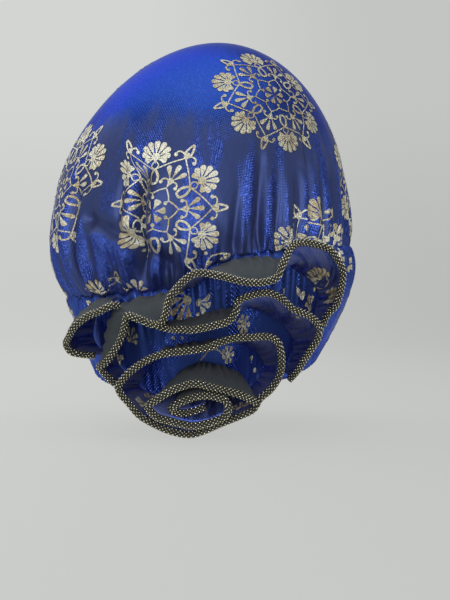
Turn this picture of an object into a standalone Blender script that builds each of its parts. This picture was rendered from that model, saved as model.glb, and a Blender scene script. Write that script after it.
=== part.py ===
"""A ruffled turban: a gathered dome of cloth on a puffed head band, with a rosette of
edged ruffles low at the back. Lengths in the tables are millimetres; +Z is up, the
forehead faces -Y, the back of the head faces +Y, and azimuths run from the front (0)
by the wearer's left (90) to the back (180)."""

import math

import bmesh
import bpy
import numpy as np

MM = 0.001

# Cloth and trim
CROWN_WALL = 1.5
BAND_WALL = 2.0
RUFFLE_WALL = 1.2
TRIM_RADIUS = 2.0
GAP = 0.4

# The dome above its widest level, and the shorter curve below it
CROWN_HALF_WIDTH = 103.0
CROWN_HALF_DEPTH = 112.0
CROWN_WIDEST_UP = 70.0
CROWN_UPPER_HEIGHT = 137.0
CROWN_LOWER_HEIGHT = 80.0
CROWN_LEAN = 14.0
CROWN_LEAN_POWER = 1.3
CROWN_SHOULDER_POWER = 1.05
CROWN_ROWS = 10

# The rim of the head opening, which is lower at the nape than at the forehead
RIM_HALF_WIDTH = 75.0
RIM_HALF_DEPTH = 94.0
RIM_UP = -13.0
RIM_SLOPE_BACK = -0.2
RIM_SLOPE_LEFT = 0.05
RIM_SHIFT = 6.0
PUFF_POWER = 0.7
BAND_ROWS = 4

# The rosette faces this way, and its tables are drawn on the plane that it faces
ROSETTE_AZIMUTH = 200.0
RUFFLE_ROWS = 4
BASE_CLEARANCE = 0.95
TUCK = 0.35

# Seam between dome and band: azimuth, height, and how far the band puffs out below it
SEAM = (
    (10, 66, 9.0),
    (50, 54, 5.0),
    (85, 39, 1.0),
    (110, 31, 2.0),
    (140, 30, 2.0),
    (162, 31, 2.0),
    (176, 33, 2.0),
    (188, 35, 2.0),
    (199, 41, 2.0),
    (208, 52, 3.0),
    (218, 57, 4.0),
    (230, 59, 6.0),
    (250, 62, 8.0),
    (290, 66, 11.0),
    (330, 68, 11.0),
)

# Valleys of the gathered cloth: azimuth, depth, and the share of the way to the top
FOLDS = (
    (16, 4.0, 0.34),
    (34, 3.5, 0.30),
    (52, 4.0, 0.36),
    (70, 3.5, 0.30),
    (88, 3.5, 0.34),
    (101, 3.0, 0.30),
    (113, 2.5, 0.30),
    (127, 3.0, 0.35),
    (141, 4.0, 0.36),
    (152, 3.5, 0.32),
    (161, 4.0, 0.36),
    (170, 4.0, 0.30),
    (180, 5.0, 0.44),
    (191, 5.5, 0.32),
    (203, 3.5, 0.24),
    (212, 3.0, 0.24),
    (221, 5.0, 0.44),
    (229, 4.0, 0.42),
    (237, 3.0, 0.36),
    (244, 5.0, 0.48),
    (252, 4.5, 0.38),
    (262, 4.0, 0.34),
    (274, 3.0, 0.30),
    (288, 3.0, 0.30),
    (304, 3.5, 0.32),
    (322, 4.0, 0.30),
    (340, 3.5, 0.34),
    (358, 4.0, 0.30),
)
COLUMNS_PER_FOLD = 4

# Ruffles, outside in. Each row is one turn of the cloth: where it is sewn down, and
# where its free edge is, both as (right, up) on the plane that the rosette faces.
SIDE_RUFFLE = (
    (-49, 29, -48, 25),
    (-53, 29, -52, 25),
    (-58, 27, -58, 23),
    (-62, 23, -67, 19),
    (-65, 18, -75, 13),
    (-67, 12, -80, 6),
    (-68, 6, -82, 1),
    (-67, 1, -79, -4),
    (-64, -3, -72, -6),
    (-59, -6, -64, -7),
)
UPPER_RUFFLE = (
    (-42, -23, -48, -26),
    (-47, -18, -55, -20),
    (-51, -12, -60, -13),
    (-52, -5, -55, -8),
    (-52, 2, -48, 3),
    (-51, 12, -45, 12),
    (-46, 22, -42, 19),
    (-38, 28, -33, 17),
    (-24, 31, -21, 16),
    (-11, 34, -14, 31),
    (2, 39, 0, 43),
    (14, 49, 15, 43),
    (31, 54, 33, 40),
    (46, 54, 48, 42),
    (56, 51, 55, 51),
    (64, 47, 61, 60),
    (70, 43, 71, 61),
    (75, 38, 83, 57),
    (78, 33, 91, 47),
    (79, 28, 92, 37),
    (78, 22, 89, 25),
    (75, 16, 84, 19),
    (72, 9, 81, 12),
)
MIDDLE_RUFFLE = (
    (-26, 13, -22, 12),
    (-18, 13, -16, 11),
    (-9, 15, -9, 11),
    (0, 17, -1, 11),
    (9, 20, 9, 13),
    (18, 22, 20, 16),
    (26, 24, 25, 21),
    (32, 24, 27, 26),
    (38, 22, 33, 29),
    (43, 20, 43, 31),
    (49, 17, 52, 28),
    (54, 14, 60, 22),
    (58, 9, 70, 17),
    (61, 4, 76, 11),
    (62, -1, 76, 4),
    (62, -6, 73, -2),
    (60, -11, 69, -9),
    (57, -15, 64, -17),
    (52, -19, 58, -23),
)
LOWER_RUFFLE = (
    (-37, -25, -47, -25),
    (-34, -20, -42, -18),
    (-30, -14, -35, -12),
    (-25, -8, -27, -7),
    (-18, -3, -18, -4),
    (-7, 0, -3, -2),
    (2, 1, 8, 0),
    (12, 2, 16, 3),
    (20, 2, 25, 5),
    (28, 1, 34, 5),
    (35, -2, 43, 5),
    (39, -6, 49, 2),
    (42, -11, 52, -4),
    (43, -16, 53, -12),
    (41, -20, 51, -20),
    (38, -24, 46, -27),
    (34, -28, 40, -32),
    (29, -30, 35, -38),
    (21, -33, 26, -42),
    (13, -35, 15, -46),
    (5, -36, 5, -50),
    (-4, -36, -4, -52),
    (-12, -35, -15, -50),
    (-20, -34, -25, -46),
    (-27, -32, -34, -41),
    (-33, -30, -41, -34),
    (-36, -28, -45, -30),
)
# The free edge of the curled centre, which is sewn down along a smaller copy of it
CENTRE_EDGE = (
    (37, -33),
    (33, -31),
    (27, -28),
    (18, -25),
    (9, -23),
    (2, -21),
    (-5, -22),
    (-13, -25),
    (-21, -30),
    (-27, -35),
    (-22, -41),
    (-15, -43),
    (-8, -45),
    (-1, -46),
    (6, -45),
    (12, -43),
    (18, -40),
    (20, -35),
    (18, -31),
    (13, -29),
    (8, -28),
    (1, -28.5),
    (-6, -31),
    (-12, -34),
    (-13, -37),
    (-7, -38.5),
    (0, -37),
    (6, -35),
)
CENTRE_AT = (4, -36)
CENTRE_SEWN_AT = (6, -19)
CENTRE_SEWN_SHARE = 0.5
CENTRE_RUFFLE = tuple(
    (
        CENTRE_SEWN_AT[0] + CENTRE_SEWN_SHARE * (right - CENTRE_AT[0]),
        CENTRE_SEWN_AT[1] + CENTRE_SEWN_SHARE * (up - CENTRE_AT[1]),
        right,
        up,
    )
    for right, up in CENTRE_EDGE
)

# Name, table, closed into a ring, length of one step along it, width of the strip, and
# the share of that width where it starts and ends
RUFFLES = (
    ("side_ruffle", SIDE_RUFFLE, False, 7.5, 43, 0.8, 0.6),
    ("upper_ruffle", UPPER_RUFFLE, False, 7.5, 45, 0.6, 0.6),
    ("middle_ruffle", MIDDLE_RUFFLE, False, 7.5, 45, 0.8, 0.6),
    ("lower_ruffle", LOWER_RUFFLE, True, 7.5, 43, 1.0, 1.0),
    ("centre_ruffle", CENTRE_RUFFLE, False, 5.0, 50, 0.9, 0.9),
)


def smoothstep(low, high, value):
    share = np.clip((value - low) / (high - low), 0, 1)
    return share * share * (3 - 2 * share)


def catmull(values, closed, at):
    """A smooth curve through the rows of values, read at the row numbers in at."""
    values = np.asarray(values, float)
    count = len(values)
    first = np.floor(at).astype(int)
    if not closed:
        first = np.clip(first, 0, count - 2)
    share = (at - first)[:, None]
    picked = []
    for step in (-1, 0, 1, 2):
        index = first + step
        index = index % count if closed else np.clip(index, 0, count - 1)
        picked.append(values[index])
    before, here, after, beyond = picked
    return 0.5 * (
        2 * here
        + (after - before) * share
        + (2 * before - 5 * here + 4 * after - beyond) * share**2
        + (3 * here - before - 3 * after + beyond) * share**3
    )


def round_table(table, azimuth):
    """Columns of a table whose first column is an azimuth, smooth all the way round."""
    table = np.asarray(table, float)
    starts = np.append(table[:, 0], table[0, 0] + 360)
    wanted = (np.asarray(azimuth, float) - starts[0]) % 360 + starts[0]
    at = np.interp(wanted, starts, np.arange(len(starts)))
    shape = at.shape
    values = catmull(table[:, 1:], True, at.ravel())
    return [values[:, k].reshape(shape) for k in range(values.shape[1])]


def ellipse_radius(azimuth, half_width, half_depth):
    angle = np.radians(azimuth)
    across = np.sin(angle) / half_width
    along = np.cos(angle) / half_depth
    return 1 / np.hypot(across, along)


def facing(azimuth):
    """Unit vectors of a view from that azimuth: to its right, and out towards it."""
    angle = math.radians(azimuth)
    out = np.array([math.sin(angle), -math.cos(angle), 0.0])
    right = np.array([math.cos(angle), math.sin(angle), 0.0])
    return right, out


RIGHT, OUT = facing(ROSETTE_AZIMUTH)
UP = np.array([0.0, 0.0, 1.0])


def in_frame(right, up, out):
    """A point given on the rosette's own axes, in the turban's frame."""
    return (
        np.asarray(right)[..., None] * RIGHT
        + np.asarray(up)[..., None] * UP
        + np.asarray(out)[..., None] * OUT
    )


def seam_polar(azimuth):
    """How far down from the top the seam is, as an angle at the widest level's centre."""
    seam_up, _ = round_table(SEAM, azimuth)
    below = (CROWN_WIDEST_UP - seam_up) / CROWN_LOWER_HEIGHT
    return np.pi / 2 + np.arcsin(below)


def fold_field(azimuth, climb):
    """How far the gathered cloth stands out or in, at a share of the way to the top."""
    table = np.asarray(FOLDS, float)
    starts = np.append(table[:, 0], table[0, 0] + 360)
    wanted = (azimuth - starts[0]) % 360 + starts[0]
    phase = np.interp(wanted, starts, np.arange(len(starts)))
    depth, reach = round_table(FOLDS, azimuth)
    wave = (0.5 + 0.5 * np.cos(2 * np.pi * phase)) ** 1.3
    near_seam = 0.25 + 0.75 * smoothstep(0.0, 0.08, climb)
    fade = 1 - smoothstep(0.2, 1.0, climb / reach)
    return depth * (0.4 - wave) * near_seam * fade


def crown_point(azimuth, polar):
    """A point on the dome's outer face, at an angle down from the top."""
    azimuth, polar = np.broadcast_arrays(azimuth, polar)
    height = np.where(polar < np.pi / 2, CROWN_UPPER_HEIGHT, CROWN_LOWER_HEIGHT)
    climb = 1 - polar / seam_polar(azimuth)
    radius = np.sin(polar) ** np.where(polar < np.pi / 2, CROWN_SHOULDER_POWER, 1.0)
    radius = radius * ellipse_radius(azimuth, CROWN_HALF_WIDTH, CROWN_HALF_DEPTH)
    radius = radius + fold_field(azimuth, climb) * np.sin(polar)
    lean = CROWN_LEAN * np.clip(np.cos(polar), 0, 1) ** CROWN_LEAN_POWER
    angle = np.radians(azimuth)
    return np.stack(
        [
            radius * np.sin(angle) + lean * RIGHT[0],
            -radius * np.cos(angle) + lean * RIGHT[1],
            CROWN_WIDEST_UP + height * np.cos(polar),
        ],
        axis=-1,
    )


def rim_up(azimuth):
    rim = ellipse_radius(azimuth, RIM_HALF_WIDTH, RIM_HALF_DEPTH)
    angle = np.radians(azimuth)
    back = -rim * np.cos(angle)
    left = rim * np.sin(angle)
    return RIM_UP + RIM_SLOPE_BACK * back + RIM_SLOPE_LEFT * left


def band_profile(azimuth, down):
    """(radius, height) of the band's outer face, from the seam (0) to the rim (1)."""
    seam_up, puff = round_table(SEAM, azimuth)
    top_up = seam_up - GAP
    top = np.sin(seam_polar(azimuth)) * ellipse_radius(
        azimuth, CROWN_HALF_WIDTH, CROWN_HALF_DEPTH
    )
    rim = ellipse_radius(azimuth, RIM_HALF_WIDTH, RIM_HALF_DEPTH)
    radius = top + (rim - top) * down + puff * np.sin(np.pi * down**PUFF_POWER)
    return radius, top_up + (rim_up(azimuth) - top_up) * down


def band_point(azimuth, down):
    azimuth, down = np.broadcast_arrays(azimuth, down)
    radius, height = band_profile(azimuth, down)
    angle = np.radians(azimuth)
    shift = RIM_SHIFT * down
    return np.stack(
        [
            radius * np.sin(angle) + shift * RIGHT[0],
            -radius * np.cos(angle) + shift * RIGHT[1],
            height,
        ],
        axis=-1,
    )


def band_out(right, up):
    """How far out the band's outer face is behind each point of the rosette's plane."""
    out = np.full(len(right), CROWN_HALF_DEPTH)
    aside = np.asarray(right, float)
    for _ in range(12):
        azimuth = ROSETTE_AZIMUTH + np.degrees(np.arctan2(aside, out))
        seam_up, _ = round_table(SEAM, azimuth)
        bottom = rim_up(azimuth)
        down = np.clip((seam_up - up) / (seam_up - bottom), 0, 1)
        aside = right - RIM_SHIFT * down
        radius, _ = band_profile(azimuth, down)
        out = 0.5 * out + 0.5 * np.sqrt(np.maximum(radius**2 - aside**2, 100.0))
    return out


def ruffle_curves(table, closed, step, strip_width, start_share, end_share):
    """Sewn line, middle line and free edge of one ruffle, at even steps along its edge.

    The strip has one width, so its free edge stands as far out from the band as what
    is left of the width after its sideways shift.
    """
    rows = len(table)
    turns = rows if closed else rows - 1
    fine = np.linspace(0, turns, 40 * rows)
    base_right, base_up, edge_right, edge_up = catmull(table, closed, fine).T
    base_out = band_out(base_right, base_up)
    along = fine / turns
    share = np.ones_like(fine)
    if not closed:
        share = share - (1 - start_share) * (1 - smoothstep(0, 0.2, along))
        share = share - (1 - end_share) * smoothstep(0.8, 1, along)
    width = strip_width * share
    shift = np.hypot(edge_right - base_right, edge_up - base_up)
    rise = np.sqrt(np.maximum(width**2 - shift**2, (TUCK * width) ** 2))
    base = in_frame(base_right, base_up, base_out)
    level = np.hypot(base[:, 0], base[:, 1])[:, None]
    away = np.column_stack([base[:, :2] / level, np.zeros(len(base))])
    base = base + away * BASE_CLEARANCE
    edge = in_frame(edge_right, edge_up, base_out + rise)
    middle = base + away * (0.5 * width)[:, None] + 0.1 * (edge - base)
    lengths = np.linalg.norm(np.diff(edge, axis=0), axis=1)
    run = np.concatenate([[0], np.cumsum(lengths)])
    count = max(4, round(run[-1] / step))
    wanted = np.linspace(0, run[-1], count + 1)
    if closed:
        wanted = wanted[:-1]
    return [
        np.stack([np.interp(wanted, run, line[:, k]) for k in range(3)], axis=1)
        for line in (base, middle, edge)
    ]


def beyond_edge(curves, closed, distance):
    """The line that far beyond the free edge, square to the edge, in the sheet's own
    plane."""
    _, middle, edge = curves
    if closed:
        along = np.roll(edge, -1, axis=0) - np.roll(edge, 1, axis=0)
    else:
        along = np.gradient(edge, axis=0)
    along /= np.linalg.norm(along, axis=1)[:, None]
    onward = edge - middle
    onward -= along * np.sum(onward * along, axis=1)[:, None]
    onward /= np.linalg.norm(onward, axis=1)[:, None]
    return edge + onward * distance


def strip_points(base, middle, edge, across):
    """Points of the strip: a curve from the sewn line by the middle line to the edge."""
    t = np.asarray(across)[None, :, None]
    return (
        (1 - t) ** 2 * base[:, None] + 2 * t * (1 - t) * middle[:, None] + t**2 * edge[:, None]
    )


def clear_scene():
    for obj in list(bpy.data.objects):
        bpy.data.objects.remove(obj)


def material(name, colour, roughness, metallic):
    made = bpy.data.materials.new(name)
    made.use_nodes = True
    shader = made.node_tree.nodes["Principled BSDF"]
    shader.inputs["Base Color"].default_value = (*colour, 1)
    shader.inputs["Roughness"].default_value = roughness
    shader.inputs["Metallic"].default_value = metallic
    return made


def grid_object(name, points, wrap, collection, look):
    """A sheet through a grid of points (columns by rows), wrapped round on itself or not."""
    columns, rows = points.shape[:2]
    mesh = bmesh.new()
    bmesh.ops.create_grid(mesh, x_segments=rows - 1, y_segments=columns - 1, size=1)
    mesh.verts.ensure_lookup_table()
    flat = points.reshape(-1, 3) * MM
    for vert, point in zip(mesh.verts, flat):
        vert.co = point
    if wrap:
        first = [mesh.verts[k] for k in range(rows)]
        last = [mesh.verts[(columns - 1) * rows + k] for k in range(rows)]
        for k in range(rows - 1):
            mesh.faces.new((last[k], last[k + 1], first[k + 1], first[k]))
    bmesh.ops.recalc_face_normals(mesh, faces=mesh.faces)
    data = bpy.data.meshes.new(name)
    mesh.to_mesh(data)
    mesh.free()
    obj = bpy.data.objects.new(name, data)
    obj.data.materials.append(look)
    collection.objects.link(obj)
    return obj


def thicken(obj, wall, offset):
    """Gives a sheet its wall: offset -1 keeps the sheet as the outer face, 0 centres it."""
    solid = obj.modifiers.new("wall", "SOLIDIFY")
    solid.thickness = wall * MM
    solid.offset = offset
    obj.data.shade_smooth()


def point_out(obj):
    """Turns an open sheet's faces to point away from the turban's axis."""
    mesh = bmesh.new()
    mesh.from_mesh(obj.data)
    outward = sum(
        face.calc_area() * (face.normal.x * mid.x + face.normal.y * mid.y)
        for face in mesh.faces
        for mid in [face.calc_center_median()]
    )
    if outward < 0:
        bmesh.ops.reverse_faces(mesh, faces=mesh.faces)
    mesh.to_mesh(obj.data)
    mesh.free()


def fold_columns():
    """Azimuths of the dome's columns: each valley, each ridge and the slopes between."""
    starts = [row[0] for row in FOLDS] + [FOLDS[0][0] + 360]
    columns = []
    for left, right in zip(starts, starts[1:]):
        for k in range(COLUMNS_PER_FOLD):
            columns.append(left + (right - left) * k / COLUMNS_PER_FOLD)
    return np.array(columns)


def make_crown(collection, look):
    azimuth = fold_columns()
    climb = np.linspace(0, 1, CROWN_ROWS + 1)[:-1] ** 1.15
    polar = seam_polar(azimuth)[:, None] * (1 - climb)[None, :]
    points = crown_point(azimuth[:, None], polar)
    obj = grid_object("crown", points, True, collection, look)
    mesh = bmesh.new()
    mesh.from_mesh(obj.data)
    mesh.verts.ensure_lookup_table()
    rows = points.shape[1]
    ring = [mesh.verts[k * rows + rows - 1] for k in range(len(azimuth))]
    top = mesh.verts.new(crown_point(0.0, 0.0) * MM)
    for left, right in zip(ring, ring[1:] + ring[:1]):
        mesh.faces.new((left, right, top))
    bmesh.ops.recalc_face_normals(mesh, faces=mesh.faces)
    mesh.to_mesh(obj.data)
    mesh.free()
    point_out(obj)
    thicken(obj, CROWN_WALL, -1)


def make_band(collection, look):
    azimuth = fold_columns()
    down = np.linspace(0, 1, BAND_ROWS + 1)
    points = band_point(azimuth[:, None], down[None, :])
    obj = grid_object("head_band", points, True, collection, look)
    point_out(obj)
    thicken(obj, BAND_WALL, -1)


def make_ruffle(name, curves, closed, collection, look):
    across = np.linspace(0, 1, RUFFLE_ROWS + 1)
    points = strip_points(*curves, across)
    obj = grid_object(name, points, closed, collection, look)
    thicken(obj, RUFFLE_WALL, 0)


def make_trim(name, curves, closed, collection, look):
    """A tube along the ruffle's free edge, just beyond it."""
    centre = beyond_edge(curves, closed, TRIM_RADIUS + GAP) * MM
    data = bpy.data.curves.new(name, "CURVE")
    data.dimensions = "3D"
    spline = data.splines.new("POLY")
    spline.points.add(len(centre) - 1)
    for point, place in zip(spline.points, centre):
        point.co = (*place, 1)
    spline.use_cyclic_u = closed
    data.bevel_depth = TRIM_RADIUS * MM
    data.bevel_resolution = 1
    data.use_fill_caps = True
    obj = bpy.data.objects.new(name, data)
    obj.data.materials.append(look)
    collection.objects.link(obj)


def main():
    clear_scene()
    collection = bpy.data.collections.new("turban")
    bpy.context.scene.collection.children.link(collection)
    cloth = material("printed_cloth", (0.012, 0.03, 0.35), 0.4, 0.5)
    back = material("ruffle_cloth", (0.02, 0.035, 0.18), 0.5, 0.3)
    braid = material("gold_braid", (0.35, 0.3, 0.14), 0.4, 0.8)
    make_crown(collection, cloth)
    make_band(collection, cloth)
    for name, table, closed, *sizes in RUFFLES:
        curves = ruffle_curves(table, closed, *sizes)
        make_ruffle(name, curves, closed, collection, back)
        make_trim(name + "_trim", curves, closed, collection, braid)


main()
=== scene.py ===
# %% [markdown]
# # A ruffled turban in printed lamé
# The turban is a gathered dome of royal-blue lamé knit on a puffed head band, with a
# rosette of edged ruffles low at the back, and gold foil medallions printed all over.
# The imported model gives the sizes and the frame: metres, +Z up, forehead to -Y, back of
# the head to +Y. Everything below is made in millimetres and put into meshes in metres.

import math

import bpy
import numpy as np
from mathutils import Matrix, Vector


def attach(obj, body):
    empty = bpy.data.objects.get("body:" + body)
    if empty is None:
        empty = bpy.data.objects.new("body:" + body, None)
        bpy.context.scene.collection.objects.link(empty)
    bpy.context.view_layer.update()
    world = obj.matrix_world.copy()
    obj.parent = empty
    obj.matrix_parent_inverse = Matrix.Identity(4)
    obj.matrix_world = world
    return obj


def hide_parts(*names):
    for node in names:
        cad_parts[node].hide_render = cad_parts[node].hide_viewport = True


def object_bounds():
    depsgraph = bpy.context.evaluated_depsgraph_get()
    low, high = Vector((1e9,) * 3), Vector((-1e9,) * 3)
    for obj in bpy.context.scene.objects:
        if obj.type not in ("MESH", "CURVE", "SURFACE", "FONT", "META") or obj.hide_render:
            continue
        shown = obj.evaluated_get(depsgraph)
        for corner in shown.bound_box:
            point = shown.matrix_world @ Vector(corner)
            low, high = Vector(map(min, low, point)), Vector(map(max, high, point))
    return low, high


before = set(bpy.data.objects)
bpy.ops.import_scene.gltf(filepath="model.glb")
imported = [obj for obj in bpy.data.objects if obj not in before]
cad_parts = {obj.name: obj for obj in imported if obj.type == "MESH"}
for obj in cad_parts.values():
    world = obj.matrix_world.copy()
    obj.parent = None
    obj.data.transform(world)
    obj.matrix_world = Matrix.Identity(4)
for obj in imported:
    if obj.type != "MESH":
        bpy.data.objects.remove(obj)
cad_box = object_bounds()
MM = 0.001
print("nodes:", sorted(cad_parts))

# %% [markdown]
# ## The shape in numbers
# The dome and the ruffles could be sculpted, but then nobody could say how deep a fold
# is. Here every form comes from named sizes and short tables, the same as in the part's
# source, so the cloth lies where the solid says. Azimuths run from the front (0) by the
# wearer's left (90) to the back (180).

# %% Sizes of the dome, the rim and the rosette
# Millimetres, but for powers, slopes, shares and the azimuth in degrees
CROWN_HALF_WIDTH = 103.0
CROWN_HALF_DEPTH = 112.0
CROWN_WIDEST_UP = 70.0
CROWN_UPPER_HEIGHT = 137.0
CROWN_LOWER_HEIGHT = 80.0
CROWN_LEAN = 14.0
CROWN_LEAN_POWER = 1.3
CROWN_SHOULDER_POWER = 1.05
RIM_HALF_WIDTH = 75.0
RIM_HALF_DEPTH = 94.0
RIM_UP = -13.0
RIM_SLOPE_BACK = -0.2
RIM_SLOPE_LEFT = 0.05
RIM_SHIFT = 6.0
PUFF_POWER = 0.7
ROSETTE_AZIMUTH = 200.0
BASE_CLEARANCE = 0.95
LEAST_RISE = 0.35
CROWN_WALL = 1.5
BAND_WALL = 2.0
RUFFLE_WALL = 1.2
TRIM_RADIUS = 2.0
GAP = 0.4
# The dome's mean radius, and mm of cloth to a degree round it and to a radian down it
MEAN_RADIUS = 107.0
MM_PER_DEGREE = 1.87
MM_PER_RADIAN = 118.0
# Half the steps between which normals are measured: degrees round, radians down the
# dome, a share of the way down the band, mm along a ruffle and a share of its width
ROUND_STEP = 0.25
CROWN_STEP = 0.004
BAND_STEP = 0.01
ALONG_STEP = 1.5
ONWARD_STEP = 0.02

# %% Seam and folds of the dome
# Seam between dome and band: azimuth, height, and how far the band puffs out below it
SEAM = (
    (10, 66, 9.0), (50, 54, 5.0), (85, 39, 1.0), (110, 31, 2.0), (140, 30, 2.0),
    (162, 31, 2.0), (176, 33, 2.0), (188, 35, 2.0), (199, 41, 2.0), (208, 52, 3.0),
    (218, 57, 4.0), (230, 59, 6.0), (250, 62, 8.0), (290, 66, 11.0), (330, 68, 11.0),
)
# Small waves of that height, where the gathers pull: mm, number of waves, and phase
SEAM_WAVES = ((0.9, 37, 1), (0.6, 58, 0))
# Valleys of the gathered cloth: azimuth, depth, and the share of the way to the top
FOLDS = (
    (16, 4.0, 0.34), (34, 3.5, 0.30), (52, 4.0, 0.36), (70, 3.5, 0.30), (88, 3.5, 0.34),
    (101, 3.0, 0.30), (113, 2.5, 0.30), (127, 3.0, 0.35), (141, 4.0, 0.36),
    (152, 3.5, 0.32), (161, 4.0, 0.36), (170, 4.0, 0.30), (180, 5.0, 0.44),
    (191, 5.5, 0.32), (203, 3.5, 0.24), (212, 3.0, 0.24), (221, 5.0, 0.44),
    (229, 4.0, 0.42), (237, 3.0, 0.36), (244, 5.0, 0.48), (252, 4.5, 0.38),
    (262, 4.0, 0.34), (274, 3.0, 0.30), (288, 3.0, 0.30), (304, 3.5, 0.32),
    (322, 4.0, 0.30), (340, 3.5, 0.34), (358, 4.0, 0.30),
)
# Single creases: azimuth and height of both ends, depth (less than 0 for a ridge), reach
CREASES = (
    (160, 80, 177, 66, 5.5, 5), (177, 66, 190, 52, 6.0, 5), (163, 69, 177, 55, -2.6, 6),
    (176, 118, 177, 74, -1.8, 6),
    (147, 104, 147, 60, -1.8, 5), (218, 112, 219, 84, -1.6, 5), (224, 112, 222, 66, 1.8, 6),
    (239, 112, 247, 74, -2.2, 5), (246, 135, 243, 92, 1.6, 6), (193, 46, 192, 36, 2.5, 5),
    (156, 96, 160, 62, 1.5, 5), (205, 84, 212, 60, 1.6, 5), (262, 104, 258, 70, 1.6, 6),
    (120, 96, 126, 60, 1.8, 6), (95, 100, 90, 56, 1.5, 6), (60, 110, 52, 66, 1.8, 6),
    (20, 120, 18, 76, 1.6, 6), (335, 112, 340, 74, 1.8, 6), (300, 116, 304, 78, 1.6, 6),
)
# Deep narrow tucks: azimuth, mm of cloth hidden in it, height of its top and bottom, and
# how many mm higher the cloth was pulled on its lower-azimuth side
TUCKS = (
    (182.0, 12.5, 108, 58, 9.0), (152.0, 12.0, 100, 56, 0.0), (173.8, 5.0, 112, 84, 0.0),
)
FOLD_GAIN = 1.25
FOLD_SHARPNESS = 1.3
FOLD_LEVEL = 0.4
PLEATS_ROUND = 116
PLEAT_DEPTH = 1.3
PLEAT_LENGTH = 0.20
WAVE_DEPTH = 0.8
TAUT_FROM = (90, 175)
# A tuck's depth as a share of the cloth in it, its reach, and the ridges at its sides
TUCK_SHARE = 0.64
TUCK_REACH = 3.4
RIDGE_SHARE = 0.16
RIDGE_ASIDE = 8
RIDGE_REACH = 5
# Where it fades: mm above and below its top, and mm below its bottom
FADE_ABOVE, FADE_INSIDE, FADE_BELOW = 8, 14, 24
print(len(FOLDS), "folds,", len(CREASES), "creases and", len(TUCKS), "tucks")

# %% Tables of the five ruffles
# Each row is one turn of the cloth: where it is sewn down and where its free edge is,
# both as (right, up) on the plane that the rosette faces
SIDE_RUFFLE = (
    (-49, 29, -48, 25), (-53, 29, -52, 25), (-58, 27, -58, 23), (-62, 23, -67, 19),
    (-65, 18, -75, 13), (-67, 12, -80, 6), (-68, 6, -82, 1), (-67, 1, -79, -4),
    (-64, -3, -72, -6), (-59, -6, -64, -7),
)
UPPER_RUFFLE = (
    (-42, -23, -48, -26), (-47, -18, -55, -20), (-51, -12, -60, -13), (-52, -5, -55, -8),
    (-52, 2, -48, 3), (-51, 12, -45, 12), (-46, 22, -42, 19), (-38, 28, -33, 17),
    (-24, 31, -21, 16), (-11, 34, -14, 31), (2, 39, 0, 43), (14, 49, 15, 43),
    (31, 54, 33, 40), (46, 54, 48, 42), (56, 51, 55, 51), (64, 47, 61, 60),
    (70, 43, 71, 61), (75, 38, 83, 57), (78, 33, 91, 47), (79, 28, 92, 37),
    (78, 22, 89, 25), (75, 16, 84, 19), (72, 9, 81, 12),
)
MIDDLE_RUFFLE = (
    (-26, 13, -22, 12), (-18, 13, -16, 11), (-9, 15, -9, 11), (0, 17, -1, 11),
    (9, 20, 9, 13), (18, 22, 20, 16), (26, 24, 25, 21), (32, 24, 27, 26),
    (38, 22, 33, 29), (43, 20, 43, 31), (49, 17, 52, 28), (54, 14, 60, 22),
    (58, 9, 70, 17), (61, 4, 76, 11), (62, -1, 76, 4), (62, -6, 73, -2),
    (60, -11, 69, -9), (57, -15, 64, -17), (52, -19, 58, -23),
)
LOWER_RUFFLE = (
    (-37, -25, -47, -25), (-34, -20, -42, -18), (-30, -14, -35, -12), (-25, -8, -27, -7),
    (-18, -3, -18, -4), (-7, 0, -3, -2), (2, 1, 8, 0), (12, 2, 16, 3),
    (20, 2, 25, 5), (28, 1, 34, 5), (35, -2, 43, 5), (39, -6, 49, 2),
    (42, -11, 52, -4), (43, -16, 53, -12), (41, -20, 51, -20), (38, -24, 46, -27),
    (34, -28, 40, -32), (29, -30, 35, -38), (21, -33, 26, -42), (13, -35, 15, -46),
    (5, -36, 5, -50), (-4, -36, -4, -52), (-12, -35, -15, -50), (-20, -34, -25, -46),
    (-27, -32, -34, -41), (-33, -30, -41, -34), (-36, -28, -45, -30),
)
# The curled centre: its free edge, and the smaller copy of it along which it is sewn
CENTRE_EDGE = (
    (37, -33), (33, -31), (27, -28), (18, -25), (9, -23), (2, -21), (-5, -22),
    (-13, -25), (-21, -30), (-27, -35), (-22, -41), (-15, -43), (-8, -45), (-1, -46),
    (6, -45), (12, -43), (18, -40), (20, -35), (18, -31), (13, -29), (8, -28),
    (1, -28.5), (-6, -31), (-12, -34), (-13, -37), (-7, -38.5), (0, -37), (6, -35),
)
CENTRE_AT = (4, -36)
CENTRE_SEWN_AT = (6, -19)
CENTRE_SEWN_SHARE = 0.5
CENTRE_RUFFLE = tuple(
    (
        CENTRE_SEWN_AT[0] + CENTRE_SEWN_SHARE * (right - CENTRE_AT[0]),
        CENTRE_SEWN_AT[1] + CENTRE_SEWN_SHARE * (up - CENTRE_AT[1]),
        right,
        up,
    )
    for right, up in CENTRE_EDGE
)
# Name, table, closed into a ring, strip width, share of it at the start and at the end,
# and the side that is printed (1 where it is to the left of the edge, seen from outside)
RUFFLES = (
    ("side_ruffle", SIDE_RUFFLE, False, 43, 0.8, 0.6, -1),
    ("upper_ruffle", UPPER_RUFFLE, False, 45, 0.6, 0.6, 1),
    ("middle_ruffle", MIDDLE_RUFFLE, False, 45, 0.8, 0.6, 1),
    ("lower_ruffle", LOWER_RUFFLE, True, 43, 1.0, 1.0, 1),
    ("centre_ruffle", CENTRE_RUFFLE, False, 50, 0.9, 0.9, -1),
)
print("ruffles:", [row[0] for row in RUFFLES])

# %% [markdown]
# ## Curves through tables
# A table has few rows, and cloth has no corners. A Catmull-Rom curve passes through
# every row and is smooth between them, so a row can be read back from the finished
# piece. A smoothstep turns a share on or off without a kink.


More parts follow.
